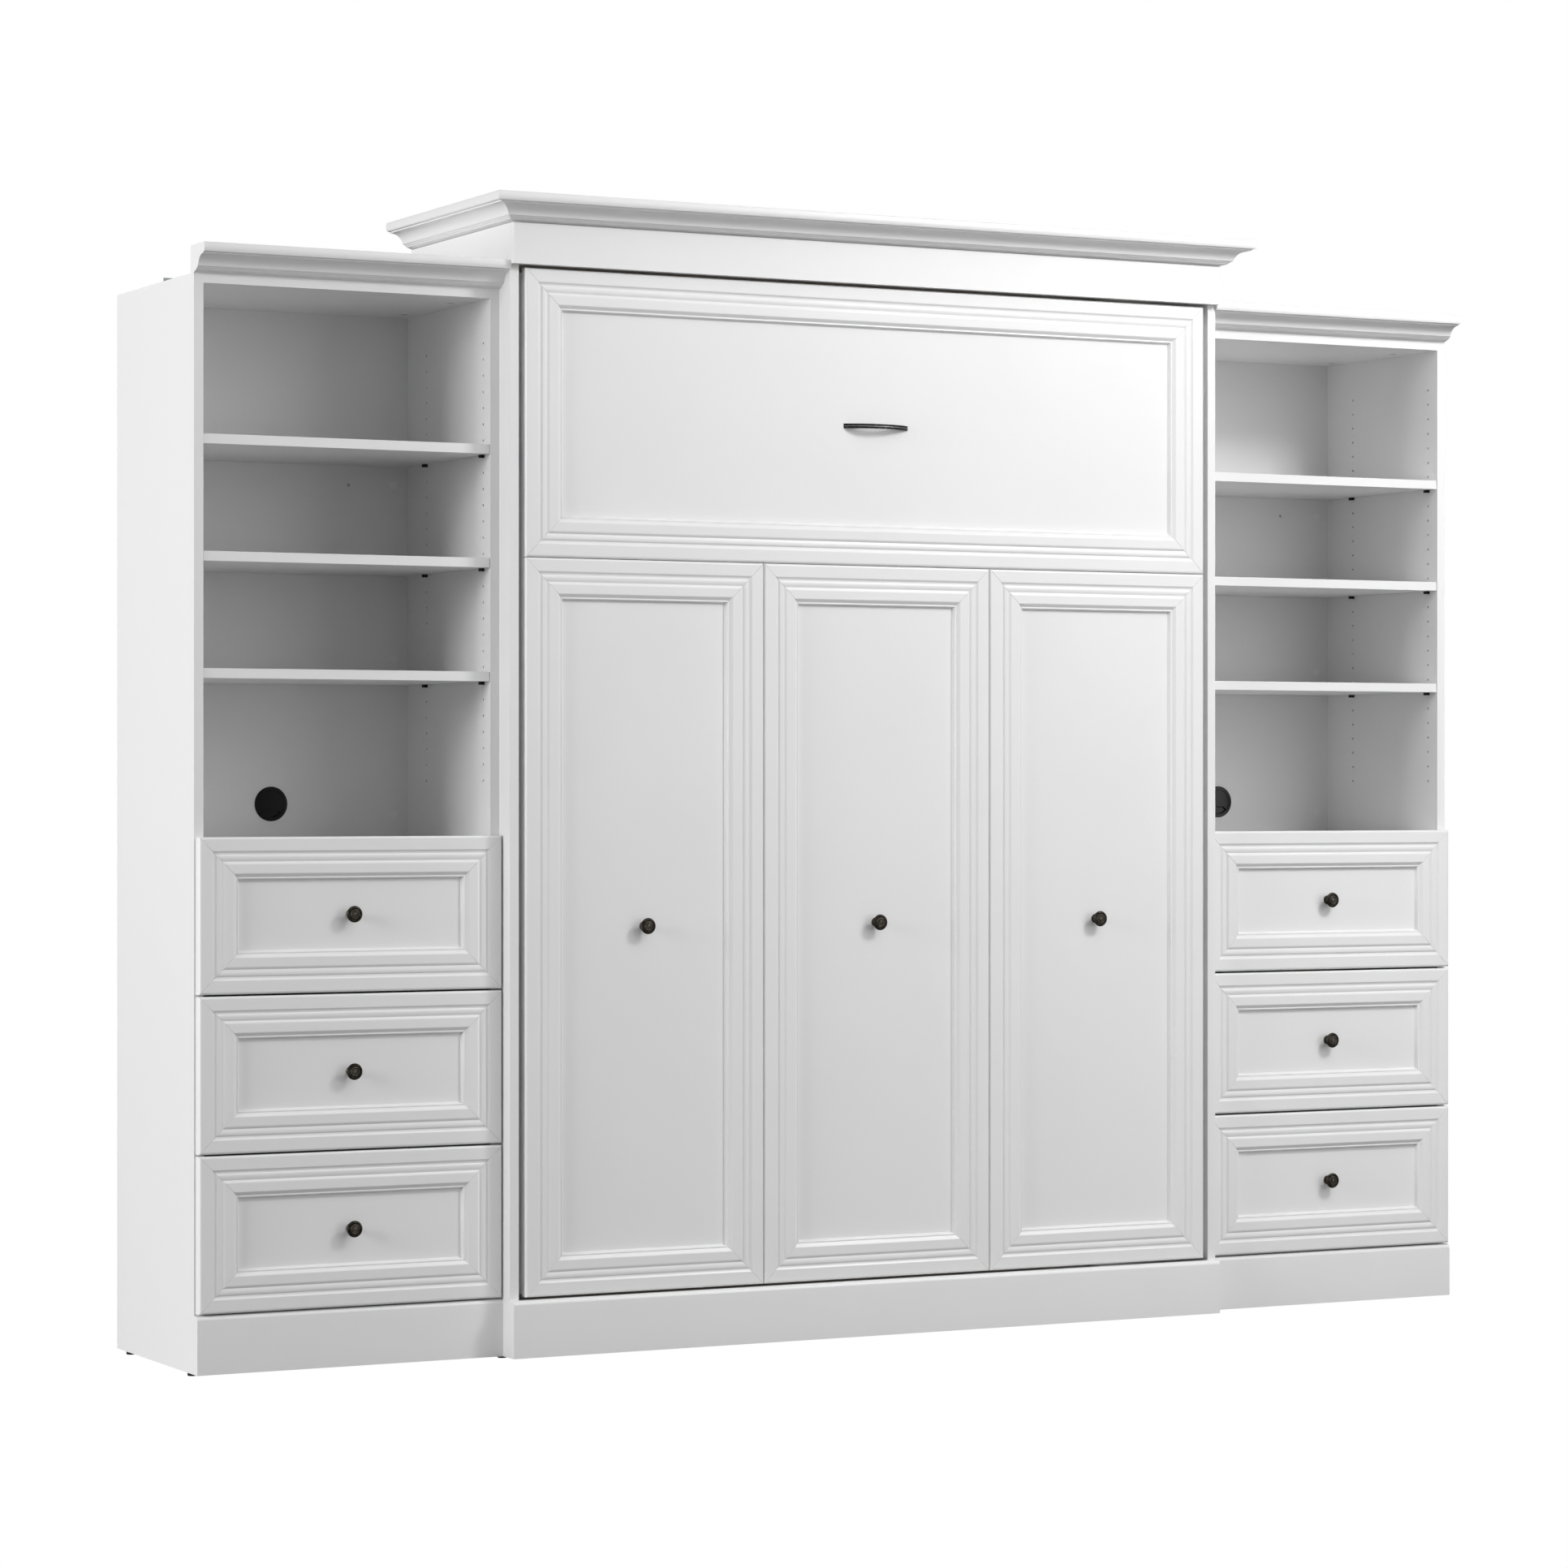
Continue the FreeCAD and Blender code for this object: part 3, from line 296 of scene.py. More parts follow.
def merged_shape(node):
    """A CAD node's mesh, with the corners that its triangles repeat merged."""
    shape = bmesh.new()
    shape.from_mesh(nodes[node].data)
    bmesh.ops.remove_doubles(shape, verts=shape.verts, dist=0.01 * MM)
    return shape


def dressed(node, name, shape, sharp=28.0, ease=0.0):
    """Makes a shape the piece that stands for a CAD node: normals out, curves smooth, and arrises
    sharp where they turn by more than sharp degrees, or eased by so many mm."""
    bmesh.ops.recalc_face_normals(shape, faces=shape.faces)
    limit = math.radians(sharp)
    for edge in shape.edges:
        edge.smooth = len(edge.link_faces) == 2 and edge.calc_face_angle(0.0) < limit
    for face in shape.faces:
        face.smooth = True
    mesh = bpy.data.meshes.new(name)
    shape.to_mesh(mesh)
    shape.free()
    mesh.materials.append(finish_of[node])
    piece = bpy.data.objects.new(name, mesh)
    bpy.context.scene.collection.objects.link(piece)
    if ease:
        arris = piece.modifiers.new("eased_arris", "BEVEL")
        arris.width = ease * MM
        arris.segments = 2
        arris.limit_method = "ANGLE"
        arris.angle_limit = math.radians(40)
        arris.harden_normals = True
    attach(piece, nodes[node]["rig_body"])
    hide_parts(node)
    return piece


def finished_copy(node, name, ease=0.0):
    """A CAD node's own shape as a dressed piece, its flat faces made whole."""
    shape = merged_shape(node)
    bmesh.ops.dissolve_limit(shape, angle_limit=math.radians(0.4), verts=shape.verts, edges=shape.edges)
    return dressed(node, name, shape, ease=ease)


def skinned(shape, rings, capped=False):
    """Lays faces from each ring of points to the next, and over the two ends if they are capped."""
    faces = [shape.faces.new((near[k - 1], near[k], far[k], far[k - 1]))
             for near, far in zip(rings, rings[1:]) for k in range(len(near))]
    if capped:
        faces += [shape.faces.new(rings[0]), shape.faces.new(rings[-1])]
    return faces


# Boards, mouldings and feet, whose shapes are the CAD's own

for name in ("bed_crown", "side_crowns", "plinth_boards"):
    finished_copy(name, name + "_moulded")
finished_copy("glide_feet", "glide_feet_finished")
for name in ("side_cabinet_boards", "adjustable_shelves", "frieze_board"):
    finished_copy(name, name + "_eased", ease=0.5)


# Grommet caps, each with a rolled lip round its cable slot

def slot_outline(reach=26.5, corner=17.5, top=11.5, half=13.0, bow=0.3, steps=24):
    """The slot's edge in mm from the cap's middle: an arc below, sides that lean in above it, and a
    nearly straight top whose ends are softened by a bow."""
    last = math.acos(corner / reach)
    turns = [last * (2 * k / steps - 1) for k in range(steps + 1)]
    arc = [(reach * math.sin(a), -reach * math.cos(a)) for a in turns]
    middle = [(x, bow - top) for x in (half - 1, 0, 1 - half)]
    return arc + [(half, -top)] + middle + [(-half, -top)]


def rolled_lips(piece, node, thick=1.1, sides=12):
    """Lays the lip around each cap's slot, about half sunk in the cap's face."""
    low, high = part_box(node)
    radius, middle_z = (high.z - low.z) / 2, (low.z + high.z) / 2
    # The cap's face lies behind its rim, and the lip's middle line a little deeper
    behind_rim, sunk = 0.8, 0.35
    face = low.y + (behind_rim + sunk) * MM
    path = [Vector(point) for point in slot_outline()]
    shape = bmesh.new()
    shape.from_mesh(piece.data)
    lips = []
    for middle_x in (low.x + radius, high.x - radius):
        rings = []
        for k, here in enumerate(path):
            along = (path[(k + 1) % len(path)] - path[k - 1]).normalized()
            out = Vector((along.y, -along.x))
            ring = []
            for j in range(sides):
                turn = 2 * math.pi * j / sides
                spot = here + out * thick * math.cos(turn)
                ring.append(shape.verts.new((middle_x + spot.x * MM, face - thick * math.sin(turn) * MM,
                                             middle_z + spot.y * MM)))
            rings.append(ring)
        lips += skinned(shape, [rings[-1]] + rings)
    bmesh.ops.recalc_face_normals(shape, faces=lips)
    for lip in lips:
        lip.smooth = True
    shape.to_mesh(piece.data)
    shape.free()


rolled_lips(finished_copy("cable_grommets", "cable_grommets_finished", ease=0.6), "cable_grommets")


# Framed fronts: four mitred lengths of moulding around a thin panel

def arc_points(centre, radius, first, last, count):
    """Points on an arc, its angles in degrees."""
    turns = [math.radians(first + (last - first) * k / count) for k in range(count + 1)]
    return [(centre[0] + radius * math.cos(a), centre[1] + radius * math.sin(a)) for a in turns]


# The frame's sizes in mm. Its rebate takes the panel's edge with a little play.
frame_width = 84.0
frame_thick = 20.0
edge_round = 4.5
panel_depth = 12.5
panel_thick = 6.0
rebate = 10.0
play = 0.1
back_chamfer = 1.0
# The mitre's V, from the joint's middle: half its gap at the bottom, half its width, and its depth
mitre_gap, mitre_edge, mitre_depth = 0.15, 0.65, 0.45

# The frame's section, as the photo shows it: each point is a distance in from the outer edge and
# a depth behind the front. A flat has a point just inside each end, which keeps its shading flat.
frame_section = [
    # Rounded outer edge and outer flat
    *arc_points((edge_round, edge_round), edge_round, 180, 270, 6), (5.2, 0.0), (25.0, 0.0),
    # First step down
    (25.6, 0.0), (26.4, 0.15), (27.4, 0.7), (28.6, 1.6), (29.6, 2.2), (30.4, 2.4), (33.5, 2.4),
    # Bead
    (33.8, 2.1), (34.5, 1.6), (35.6, 1.15), (37.0, 0.88), (38.6, 0.8), (40.4, 0.86), (42.4, 1.15),
    (44.4, 1.65), (46.0, 2.2), (46.6, 2.4),
    # Rise to the middle flat
    (47.2, 2.3), (48.2, 1.75), (49.3, 1.05), (50.5, 0.45), (51.7, 0.12), (53.0, 0.0), (53.6, 0.0),
    # Inner slope
    (68.4, 0.0), (69.0, 0.0), (69.8, 0.2), (71.2, 1.2), (74.8, 3.9), (76.2, 4.8), (76.9, 5.0),
    # Lip that falls to the panel
    (77.6, 4.85), (78.6, 4.7), (79.4, 4.85), (79.9, 5.3), (80.6, 6.6), (82.4, 10.8), (83.4, 12.2),
    (frame_width, panel_depth),
    # Rebate and back
    (frame_width - rebate, panel_depth), (frame_width - rebate, frame_thick),
    (back_chamfer, frame_thick), (0.0, frame_thick - back_chamfer),
]


def framed_front(node):
    """The lengths meet in a fine V at each mitre, where the lacquer never quite fills the joint."""
    low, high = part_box(node)
    middle = (low + high) / 2
    wide, tall = (high.x - low.x) / 2, (high.z - low.z) / 2
    shape = bmesh.new()
    for turn in range(4):
        half, out = ((wide, tall), (tall, wide))[turn % 2]
        spin = Matrix.Rotation(turn * math.pi / 2, 3, "Y")
        rings = []
        for end, inset, sunk in ((-1, mitre_gap, mitre_depth), (-1, mitre_edge, 0.0),
                                 (1, mitre_edge, 0.0), (1, mitre_gap, mitre_depth)):
            ring = []
            for across, deep in frame_section:
                sink = sunk if deep < panel_depth else 0.0
                along = end * (half - (across + inset) * MM)
                spot = spin @ Vector((along, 0, across * MM - out))
                ring.append(shape.verts.new((middle.x + spot.x, low.y + (deep + sink) * MM,
                                             middle.z + spot.z)))
            rings.append(ring)
        skinned(shape, rings, capped=True)
    edge = (frame_width - rebate + play) * MM
    x, z = wide - edge, tall - edge
    front, back = [[shape.verts.new((middle.x + across, low.y + deep * MM, middle.z + up))
                    for across, up in ((-x, -z), (x, -z), (x, z), (-x, z))]
                   for deep in (panel_depth, panel_depth + panel_thick)]
    skinned(shape, [front, back], capped=True)
    dressed(node, node + "_framed", shape)


for name in ("door_front_left", "door_front_centre", "door_front_right", "top_front"):
    framed_front(name)
for drawer in DRAWERS:
    framed_front("drawer_front_" + drawer)


# Knobs and handle

# A knob's section in mm: each point is a radius, a reach from the front and its share of wear and painted
# highlight
knob_section = [
    # Pin and foot
    (3.0, -3.5, 0), (3.0, 0, 0), (9.2, 0, 0), (9.65, 0.4, 0.1), (9.65, 1.2, 0.2), (9.2, 1.9, 0.25),
    (7.8, 2.8, 0.1), (6.2, 3.8, 0.1),
    # Neck, with a painted highlight in its hollow
    (5.4, 5.2, 0.3), (5.0, 7.5, 0.6), (4.9, 10.0, 0.6), (5.1, 12.2, 0.4), (5.8, 14.2, 0.2),
    # Head's underside and rim
    (7.6, 15.9, 0), (10.8, 17.0, 0), (14.0, 17.9, 0.1), (15.6, 18.9, 0.15), (16.2, 20.0, 0.2),
    (15.8, 21.1, 0.2), (14.6, 22.1, 0.15), (13.0, 22.8, 0.1), (12.0, 23.0, 0.1),
    # Outer groove and ring
    (11.1, 22.8, 0), (10.5, 22.2, 0), (10.0, 22.3, 0), (9.6, 23.0, 0.25), (8.9, 23.6, 0.45),
    (8.1, 23.8, 0.45), (7.3, 23.6, 0.3),
    # Inner groove and ring
    (6.8, 23.1, 0), (6.3, 23.1, 0), (5.9, 23.7, 0.25), (5.3, 24.2, 0.45), (4.5, 24.4, 0.45),
    (3.9, 24.1, 0.1),
    # Button
    (3.5, 23.8, 0), (3.0, 24.1, 0.3), (2.3, 24.7, 0.7), (1.4, 24.95, 0.7), (0.8, 25.0, 0.3),
]
knob_reach = knob_section[-1][1]


def turn_knob(shape, wear_and_highlight, x, nose, z, turns=40):
    """Adds one turned knob, given the place of its nose."""
    rings = []
    for radius, reach, wear_and_highlight_share in knob_section:
        ring = []
        for k in range(turns):
            angle = 2 * math.pi * k / turns
            point = shape.verts.new((x + radius * MM * math.cos(angle), nose + (knob_reach - reach) * MM,
                                     z + radius * MM * math.sin(angle)))
            point[wear_and_highlight] = wear_and_highlight_share
            ring.append(point)
        rings.append(ring)
    skinned(shape, rings)
    for ring in (rings[0], rings[-1]):
        tip = shape.verts.new((x, ring[0].co.y, z))
        for k in range(turns):
            shape.faces.new((ring[k - 1], ring[k], tip))


def turned_knobs(node, count):
    """The knobs of one node, side by side at even distances."""
    low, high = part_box(node)
    radius = (high.z - low.z) / 2
    shape = bmesh.new()
    wear_and_highlight = shape.verts.layers.float.new("wear_and_highlight")
    for k in range(count):
        share = k / (count - 1) if count > 1 else 0.5
        x = low.x + radius + share * (high.x - low.x - 2 * radius)
        turn_knob(shape, wear_and_highlight, x, low.y, (low.z + high.z) / 2)
    dressed(node, node + "_turned", shape, sharp=50)


turned_knobs("bed_knobs", 3)
for drawer in DRAWERS:
    turned_knobs("drawer_knob_" + drawer, 1)


# The strap's section in mm: each point is a distance in from its outer curve, a height and its
# share of wear and painted highlight
strap_section = [
    # Underside
    (4.5, -4.6, 0), (4.2, -5.0, 0.1), (0.6, -5.0, 0.25),
    # Lower edge and hollow
    (0.15, -4.75, 0.8), (0, -4.4, 0.8), (0.1, -4.0, 0.4), (0.6, -3.7, 0), (0.75, -2.4, 0), (0.6, -1.2, 0),
    # Middle ridge, with a painted highlight along it
    (0.15, -0.8, 0.2), (0, -0.35, 0.9), (0, 0.35, 0.9), (0.15, 0.8, 0.2),
    # Upper hollow and edge
    (0.6, 1.2, 0), (0.75, 2.4, 0), (0.6, 3.7, 0), (0.1, 4.0, 0.4), (0, 4.4, 0.7), (0.15, 4.75, 0.6),
    # Top
    (0.6, 5.0, 0.2), (4.2, 5.0, 0), (4.5, 4.6, 0),
]

# The handle's posts in mm: how far behind the strap's outer curve they end, and their chamfer there
post_radius = 4.0
post_sides = 24
post_sunk = 2.0
chamfer_wide, chamfer_long = 0.4, 1.0


def arched_handle(node, reach=25.0, posts=64.0, steps=56):
    """A flat strap bent to an arc, its ends cut flush with the front, on two short posts. Sizes are
    in mm: how far it reaches, and how far each post stands from its middle."""
    low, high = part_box(node)
    half = (high.x - low.x) / 2 / MM
    middle_x, middle_z = (low.x + high.x) / 2, (low.z + high.z) / 2
    radius = (half ** 2 + reach ** 2) / (2 * reach)
    seat = low.y / MM + reach
    hub = seat + radius - reach
    shape = bmesh.new()
    wear_and_highlight = shape.verts.layers.float.new("wear_and_highlight")
    rings = []
    for step in range(steps + 1):
        ring = []
        for inward, up, wear_and_highlight_share in strap_section:
            bend = radius - inward
            swing = math.acos((radius - reach) / bend) * (2 * step / steps - 1)
            point = shape.verts.new((middle_x + bend * math.sin(swing) * MM,
                                     (hub - bend * math.cos(swing)) * MM, middle_z + up * MM))
            point[wear_and_highlight] = wear_and_highlight_share
            ring.append(point)
        rings.append(ring)
    skinned(shape, rings, capped=True)
    for x in (-posts, posts):
        top = hub - math.sqrt((radius - post_sunk) ** 2 - x ** 2)
        stack = []
        for deep, wide in ((seat, post_radius), (top + chamfer_long, post_radius),
                           (top, post_radius - chamfer_wide)):
            turns = [2 * math.pi * k / post_sides for k in range(post_sides)]
            stack.append([shape.verts.new((middle_x + (x + wide * math.cos(a)) * MM, deep * MM,
                                           middle_z + wide * math.sin(a) * MM)) for a in turns])
        skinned(shape, stack, capped=True)
    dressed(node, node + "_arched", shape, sharp=50)


arched_handle("bed_handle")


# What the trees of geometry nodes share

def finish_tree(tree, last, output, material):
    """Ends a tree of geometry nodes: its instances made real, in one material."""
    real = add(tree, "GeometryNodeRealizeInstances", join={"Geometry": (last, output)})
    painted = add(tree, "GeometryNodeSetMaterial", put={"Material": material},
                  join={"Geometry": (real, "Geometry")})
    add(tree, "NodeGroupOutput", join={"Geometry": (painted, "Geometry")})


def grown(name, tree, values, start=None):
    """The plain mesh that a tree of geometry nodes makes, with its inputs set by identifier."""
    seed = bpy.data.objects.new(name, start or bpy.data.meshes.new(name + "_seed"))
    bpy.context.scene.collection.objects.link(seed)
    grow = seed.modifiers.new("grow", "NODES")
    grow.node_group = tree
    for identifier, value in values.items():
        grow[identifier] = value
    graph = bpy.context.evaluated_depsgraph_get()
    graph.update()
    mesh = bpy.data.meshes.new_from_object(seed.evaluated_get(graph))
    seed.modifiers.remove(grow)
    seed.data = mesh
    return seed


# Sprung slats, made along the frame by one tree of geometry nodes

def slat_tree(material):
    """Slats in a row up the frame, each bowed a little towards the mattress, with softened edges."""
    tree = bpy.data.node_groups.new("bowed_slats", "GeometryNodeTree")
    tree.interface.new_socket("Geometry", in_out="OUTPUT", socket_type="NodeSocketGeometry")
    sockets = {"Count": tree.interface.new_socket("Count", in_out="INPUT", socket_type="NodeSocketInt")}
    for name in ("First", "Pitch", "Length", "Width", "Thickness", "Bow", "Depth"):
        sockets[name] = tree.interface.new_socket(name, in_out="INPUT", socket_type="NodeSocketFloat")
    given = add(tree, "NodeGroupInput")
    start = add(tree, "ShaderNodeCombineXYZ", join={"Y": (given, "Depth"), "Z": (given, "First")})
    step = add(tree, "ShaderNodeCombineXYZ", join={"Z": (given, "Pitch")})
    row = add(tree, "GeometryNodeMeshLine", mode="OFFSET",
              join={"Count": (given, "Count"), "Start Location": (start, "Vector"),
                    "Offset": (step, "Vector")})
    size = add(tree, "ShaderNodeCombineXYZ",
               join={"X": (given, "Length"), "Y": (given, "Thickness"), "Z": (given, "Width")})
    blank = add(tree, "GeometryNodeMeshCube", put={"Vertices X": 33, "Vertices Y": 3, "Vertices Z": 9},
                join={"Size": (size, "Vector")})
    where = add(tree, "GeometryNodeInputPosition")
    axes = add(tree, "ShaderNodeSeparateXYZ", join={"Vector": (where, "Position")})
    # The bow is a parabola: full at the slat's middle, none at its ends
    half_long = add(tree, "ShaderNodeMath", operation="MULTIPLY", put={1: 0.5}, join={0: (given, "Length")})
    along = add(tree, "ShaderNodeMath", operation="DIVIDE", join={0: (axes, "X"), 1: (half_long, "Value")})
    squared = add(tree, "ShaderNodeMath", operation="MULTIPLY",
                  join={0: (along, "Value"), 1: (along, "Value")})
    rest = add(tree, "ShaderNodeMath", operation="SUBTRACT", put={0: 1.0}, join={1: (squared, "Value")})
    lift = add(tree, "ShaderNodeMath", operation="MULTIPLY", join={0: (rest, "Value"), 1: (given, "Bow")})
    # The edges thin out by a steep power of the distance across, so only the last millimetres round off
    half_wide = add(tree, "ShaderNodeMath", operation="MULTIPLY", put={1: 0.5}, join={0: (given, "Width")})
    over = add(tree, "ShaderNodeMath", operation="DIVIDE", join={0: (axes, "Z"), 1: (half_wide, "Value")})
    steep = add(tree, "ShaderNodeMath", operation="POWER", put={1: 12.0}, join={0: (over, "Value")})
    thin = add(tree, "ShaderNodeMath", operation="MULTIPLY", join={0: (steep, "Value"), 1: (axes, "Y")})
    eased = add(tree, "ShaderNodeMath", operation="MULTIPLY", put={1: -0.35}, join={0: (thin, "Value")})
    move = add(tree, "ShaderNodeMath", operation="ADD", join={0: (lift, "Value"), 1: (eased, "Value")})
    shift = add(tree, "ShaderNodeCombineXYZ", join={"Y": (move, "Value")})
    bent = add(tree, "GeometryNodeSetPosition",
               join={"Geometry": (blank, "Mesh"), "Offset": (shift, "Vector")})
    placed = add(tree, "GeometryNodeInstanceOnPoints",
                 join={"Points": (row, "Mesh"), "Instance": (bent, "Geometry")})
    finish_tree(tree, placed, "Instances", material)
    return tree, {name: socket.identifier for name, socket in sockets.items()}


slat_count = 20
slat_low, slat_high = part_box("bed_slats")
slat_wide = 52 * MM
slat_bow = 7 * MM
slat_nodes, slat_sockets = slat_tree(slat_birch)
slat_values = {
    "Count": slat_count,
    "First": slat_low.z + slat_wide / 2,
    "Pitch": (slat_high.z - slat_low.z - slat_wide) / (slat_count - 1),
    "Length": slat_high.x - slat_low.x,
    "Width": slat_wide,
    "Thickness": slat_high.y - slat_low.y,
    "Bow": slat_bow,
    "Depth": (slat_high.y + slat_low.y) / 2,
}
slats = grown("sprung_slats", slat_nodes, {slat_sockets[k]: value for k, value in slat_values.items()})
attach(slats, "bed")
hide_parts("bed_slats")


# Cross-head screws, set where the CAD has them by one tree of geometry nodes

def piece_middle(piece):
    """The middle of the box around a piece's points."""
    return [(min(p[k] for p in piece) + max(p[k] for p in piece)) / 2 for k in range(3)]


def loose_pieces(node):
    """The points of each separate solid in a CAD node, the solids in order of their places."""
    shape = merged_shape(node)
    left = set(shape.verts)
    pieces = []
    while left:
        start = left.pop()
        found, waiting = [start], [start]
        while waiting:
            here = waiting.pop()
            for edge in here.link_edges:
                other = edge.other_vert(here)
                if other in left:
                    left.remove(other)
                    found.append(other)
                    waiting.append(other)
        pieces.append([vert.co.copy() for vert in found])
    shape.free()
    return sorted(pieces, key=lambda piece: tuple(round(c, 5) for c in piece_middle(piece)))


# A screw's head and recess are in shares of the head's radius, so one head serves every size
head_high = 0.55
head_top = 0.7
recess_long, recess_wide, recess_deep = 1.05, 0.24, 0.62
shank_radius = 1.9 * MM


def screw_tree(material):
    """A pan head with a cross recess on each point, turned to its aim, and a shank as long as asked."""
    tree = bpy.data.node_groups.new("cross_head_screws", "GeometryNodeTree")
    tree.interface.new_socket("Geometry", in_out="INPUT", socket_type="NodeSocketGeometry")
    tree.interface.new_socket("Geometry", in_out="OUTPUT", socket_type="NodeSocketGeometry")
    high = tree.interface.new_socket("Head Height", in_out="INPUT", socket_type="NodeSocketFloat")
    given = add(tree, "NodeGroupInput")
    head = add(tree, "GeometryNodeMeshCone",
               put={"Vertices": 20, "Radius Top": head_top, "Radius Bottom": 1.0},
               join={"Depth": (given, "Head Height")})
    lift = add(tree, "ShaderNodeCombineXYZ", join={"Z": (given, "Head Height")})
    recess = add(tree, "GeometryNodeMeshBoolean", operation="DIFFERENCE", join={"Mesh 1": (head, "Mesh")})
    for size in ((recess_long, recess_wide, recess_deep), (recess_wide, recess_long, recess_deep)):
        bar = add(tree, "GeometryNodeMeshCube", put={"Size": size})
        raised = add(tree, "GeometryNodeTransform",
                     join={"Geometry": (bar, "Mesh"), "Translation": (lift, "Vector")})
        wire(tree, recess, {"Mesh 2": (raised, "Geometry")})
    shank = add(tree, "GeometryNodeMeshCylinder",
                put={"Vertices": 12, "Radius": shank_radius, "Depth": 1.0})
    aim = add(tree, "GeometryNodeInputNamedAttribute", data_type="FLOAT_VECTOR", put={"Name": "aim"})
    turn = add(tree, "FunctionNodeAlignRotationToVector", axis="Z", join={"Vector": (aim, "Attribute")})
    wide = add(tree, "GeometryNodeInputNamedAttribute", data_type="FLOAT", put={"Name": "wide"})
    long = add(tree, "GeometryNodeInputNamedAttribute", data_type="FLOAT", put={"Name": "long"})
    stretch = add(tree, "ShaderNodeCombineXYZ", put={"X": 1.0, "Y": 1.0}, join={"Z": (long, "Attribute")})
    whole = add(tree, "ShaderNodeVectorMath", operation="SCALE",
                join={"Vector": (aim, "Attribute"), "Scale": (long, "Attribute")})
    inward = add(tree, "ShaderNodeVectorMath", operation="SCALE", put={"Scale": -0.5},
                 join={"Vector": (whole, "Vector")})
    heads = add(tree, "GeometryNodeInstanceOnPoints",
                join={"Points": (given, "Geometry"), "Instance": (recess, "Mesh"),
                      "Rotation": (turn, "Rotation"), "Scale": (wide, "Attribute")})
    sunk = add(tree, "GeometryNodeSetPosition",
               join={"Geometry": (given, "Geometry"), "Offset": (inward, "Vector")})
    shanks = add(tree, "GeometryNodeInstanceOnPoints",
                 join={"Points": (sunk, "Geometry"), "Instance": (shank, "Mesh"),
                       "Rotation": (turn, "Rotation"), "Scale": (stretch, "Vector")})
    both = add(tree, "GeometryNodeJoinGeometry")
    for source in (heads, shanks):
        wire(tree, both, {"Geometry": (source, "Instances")})
    finish_tree(tree, both, "Geometry", material)
    return tree, high.identifier


def screws_in_place(node):
    """Points under the heads of a node's screws, with the way each head faces and its sizes."""
    spots, aims, widths, lengths = [], [], [], []
    for piece in loose_pieces(node):
        spans = [max(p[k] for p in piece) - min(p[k] for p in piece) for k in range(3)]
        axis = spans.index(max(spans))
        middle = piece_middle(piece)
        others = [k for k in range(3) if k != axis]
        widest = max(piece, key=lambda p: max(abs(p[k] - middle[k]) for k in others))
        way = 1 if widest[axis] > middle[axis] else -1
        seat = Vector(middle)
        seat[axis] = widest[axis]
        spots.append(seat)
        aims.append([way if k == axis else 0 for k in range(3)])
        widths.append(max(abs(widest[k] - middle[k]) for k in others))
        lengths.append(widest[axis] * way - min(p[axis] * way for p in piece))
    mesh = bpy.data.meshes.new(node + "_points")
    mesh.from_pydata(spots, [], [])
    mesh.attributes.new("aim", "FLOAT_VECTOR", "POINT").data.foreach_set("vector", sum(aims, []))
    mesh.attributes.new("wide", "FLOAT", "POINT").data.foreach_set("value", widths)
    mesh.attributes.new("long", "FLOAT", "POINT").data.foreach_set("value", lengths)
    return mesh


screw_nodes, screw_head_socket = screw_tree(zinc_plate)
screws = grown("cross_head_screws", screw_nodes, {screw_head_socket: head_high},
               screws_in_place("fixing_screws"))
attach(screws, nodes["fixing_screws"]["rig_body"])
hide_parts("fixing_screws")


# Floor, light and camera

# The floor lights the object from below as pale paint does, and looks plain white to the camera
floor_paint, tree, shader, _ = surface("pale_studio_floor", Base_Color=linear("808080"), Roughness=0.9)
glow = add(tree, "ShaderNodeEmission")
seen = add(tree, "ShaderNodeLightPath")
swept = add(tree, "ShaderNodeMixShader",
            join={"Fac": (seen, "Is Camera Ray"), 1: (shader, "BSDF"), 2: (glow, "Emission")})
wire(tree, tree.nodes["Material Output"], {"Surface": (swept, "Shader")})
bpy.ops.mesh.primitive_plane_add(size=80)
floor = bpy.context.object
floor.name = "studio_floor"
floor.data.materials.append(floor_paint)

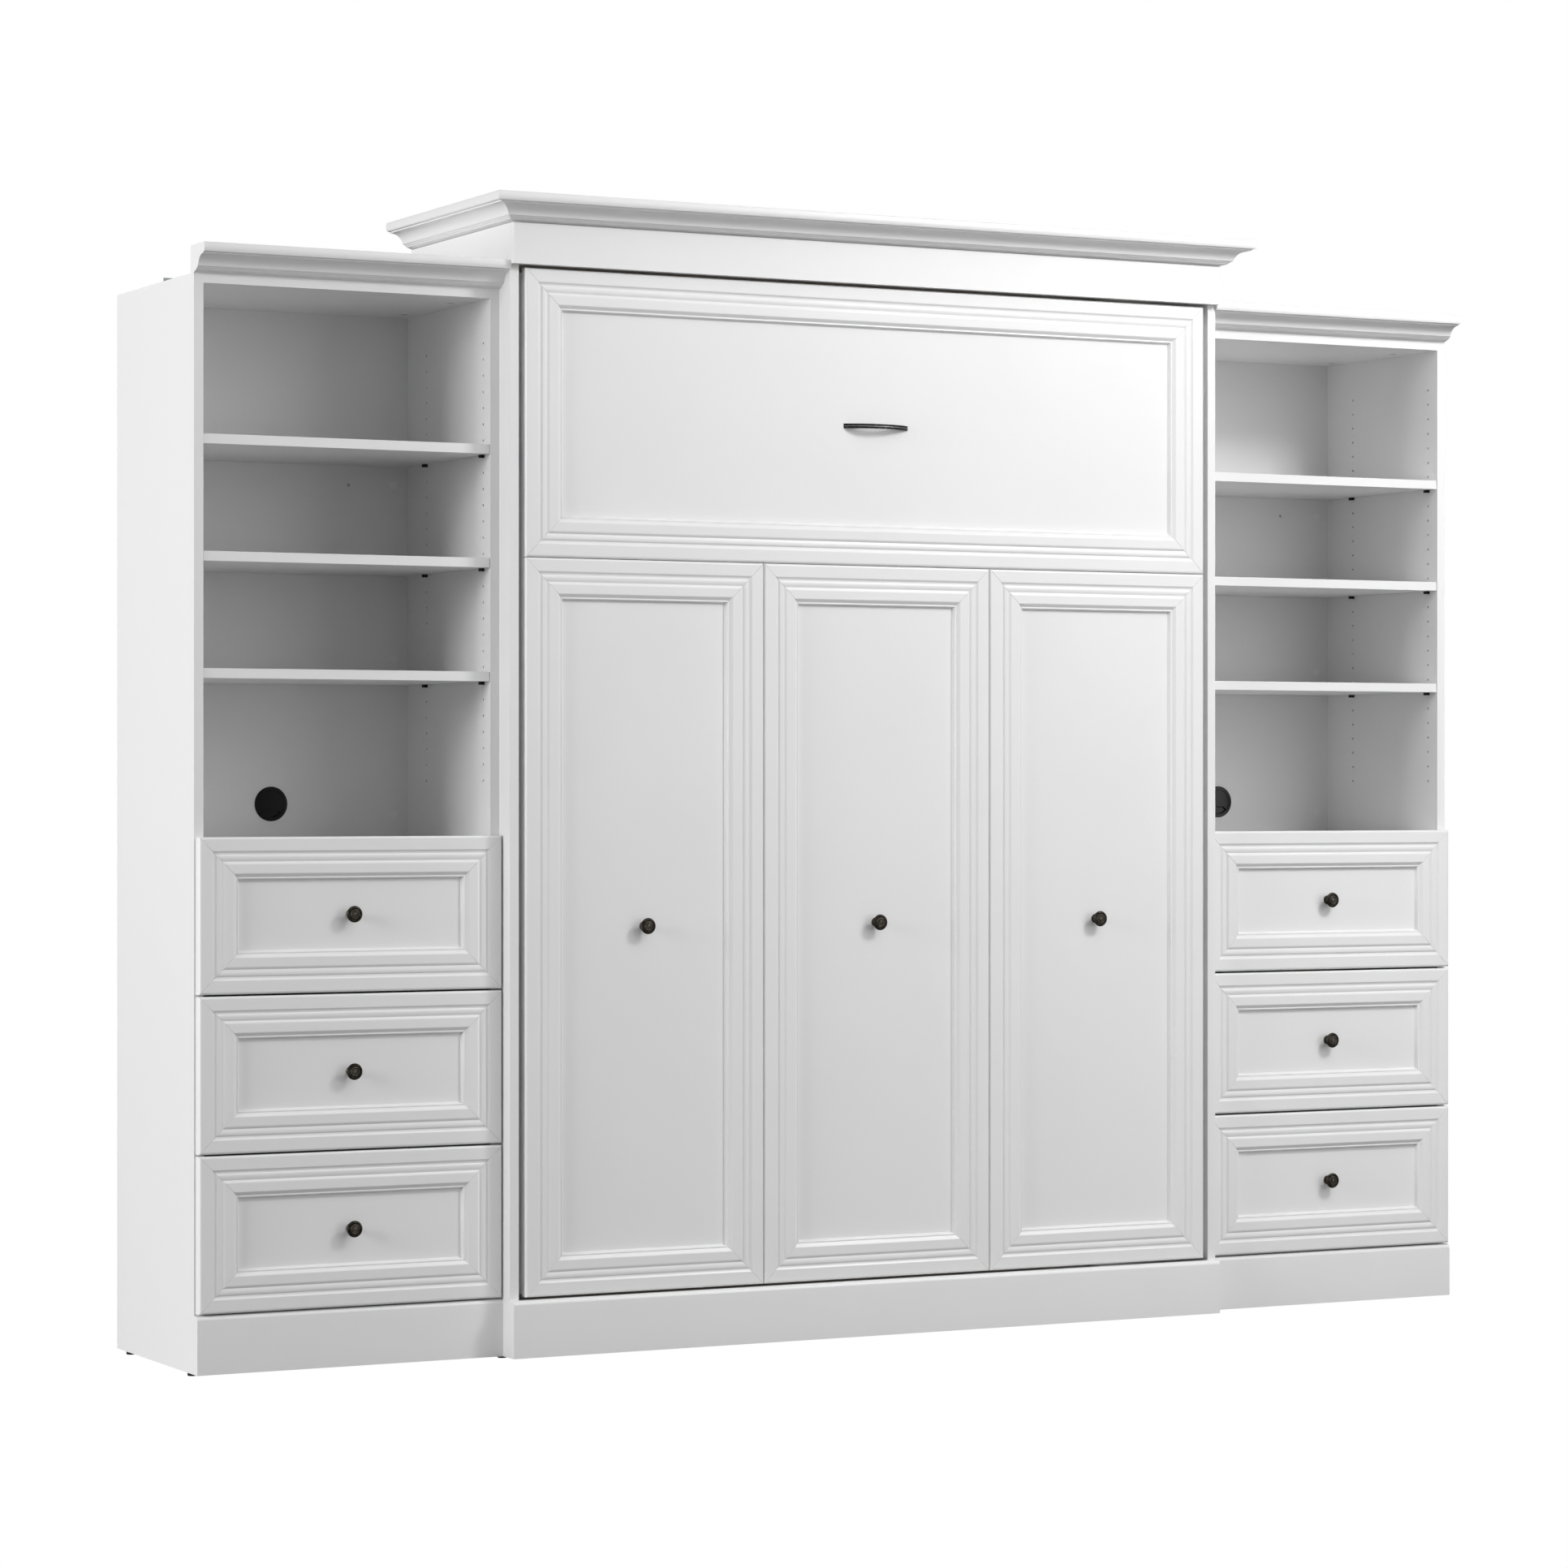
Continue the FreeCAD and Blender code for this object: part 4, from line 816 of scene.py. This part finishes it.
# The camera sees the sky white, and the object gets a fifth of that as soft light from all round
world = bpy.data.worlds.new("studio")
world.use_nodes = True
sky = world.node_tree
background = sky.nodes["Background"]
background.inputs["Color"].default_value = (1, 1, 1, 1)
seen = add(sky, "ShaderNodeLightPath")
lit = add(sky, "ShaderNodeMapRange", put={"To Min": 0.2, "To Max": 1.0},
          join={"Value": (seen, "Is Camera Ray")})
wire(sky, background, {"Strength": (lit, "Result")})
bpy.context.scene.world = world
bpy.context.scene.view_settings.view_transform = "Standard"


def softbox(name, place, target, size, power):
    """A square studio light at place, facing target, so many metres wide and so many watts."""
    lamp = bpy.data.lights.new(name, "AREA")
    lamp.shape = "SQUARE"
    lamp.size = size
    lamp.energy = power
    holder = bpy.data.objects.new(name, lamp)
    aim = Vector(target) - Vector(place)
    holder.matrix_world = Matrix.Translation(place) @ aim.to_track_quat("-Z", "Y").to_matrix().to_4x4()
    bpy.context.scene.collection.objects.link(holder)


softbox("key_from_right", (2.0, -2.6, 3.4), (0, -0.2, 1.1), 0.8, 62)
softbox("broad_from_right", (4.0, -6.0, 2.6), (0, 0, 1.2), 5.0, 129)
softbox("broad_from_camera", (-1.5, -7.0, 2.5), (0, 0, 1.2), 4.0, 14)
softbox("side_from_left", (-9.0, 0.3, 2.0), (-1.45, 0, 1.2), 3.0, 310)
softbox("into_the_shelves", (-9.0, -2.1, 3.0), (-1.0, -0.2, 1.2), 2.4, 258)
softbox("from_above", (0.5, -3.5, 5.5), (0, 0, 1.0), 3.0, 46)

# The camera as solved from the photo, level: its place in m from the object's middle, its wall side
# and the floor, how far it turns to the right, and its focal length in pixels of the photo
from_middle, from_wall, from_floor = -4.3252, -8.4413, 1.132
turned_right = 27.3685
focal_pixels = 5443.45
photo_wide = 1932
eye = bpy.data.cameras.new("photo_camera")
eye.sensor_width = 36.0
eye.lens = focal_pixels / photo_wide * eye.sensor_width
eye.clip_end = 200
camera = bpy.data.objects.new("photo_camera", eye)
camera.location = (from_middle, cad_box[1][1] + from_wall, from_floor)
camera.rotation_euler = (math.radians(90), 0, -math.radians(turned_right))
bpy.context.scene.collection.objects.link(camera)
bpy.context.scene.camera = camera
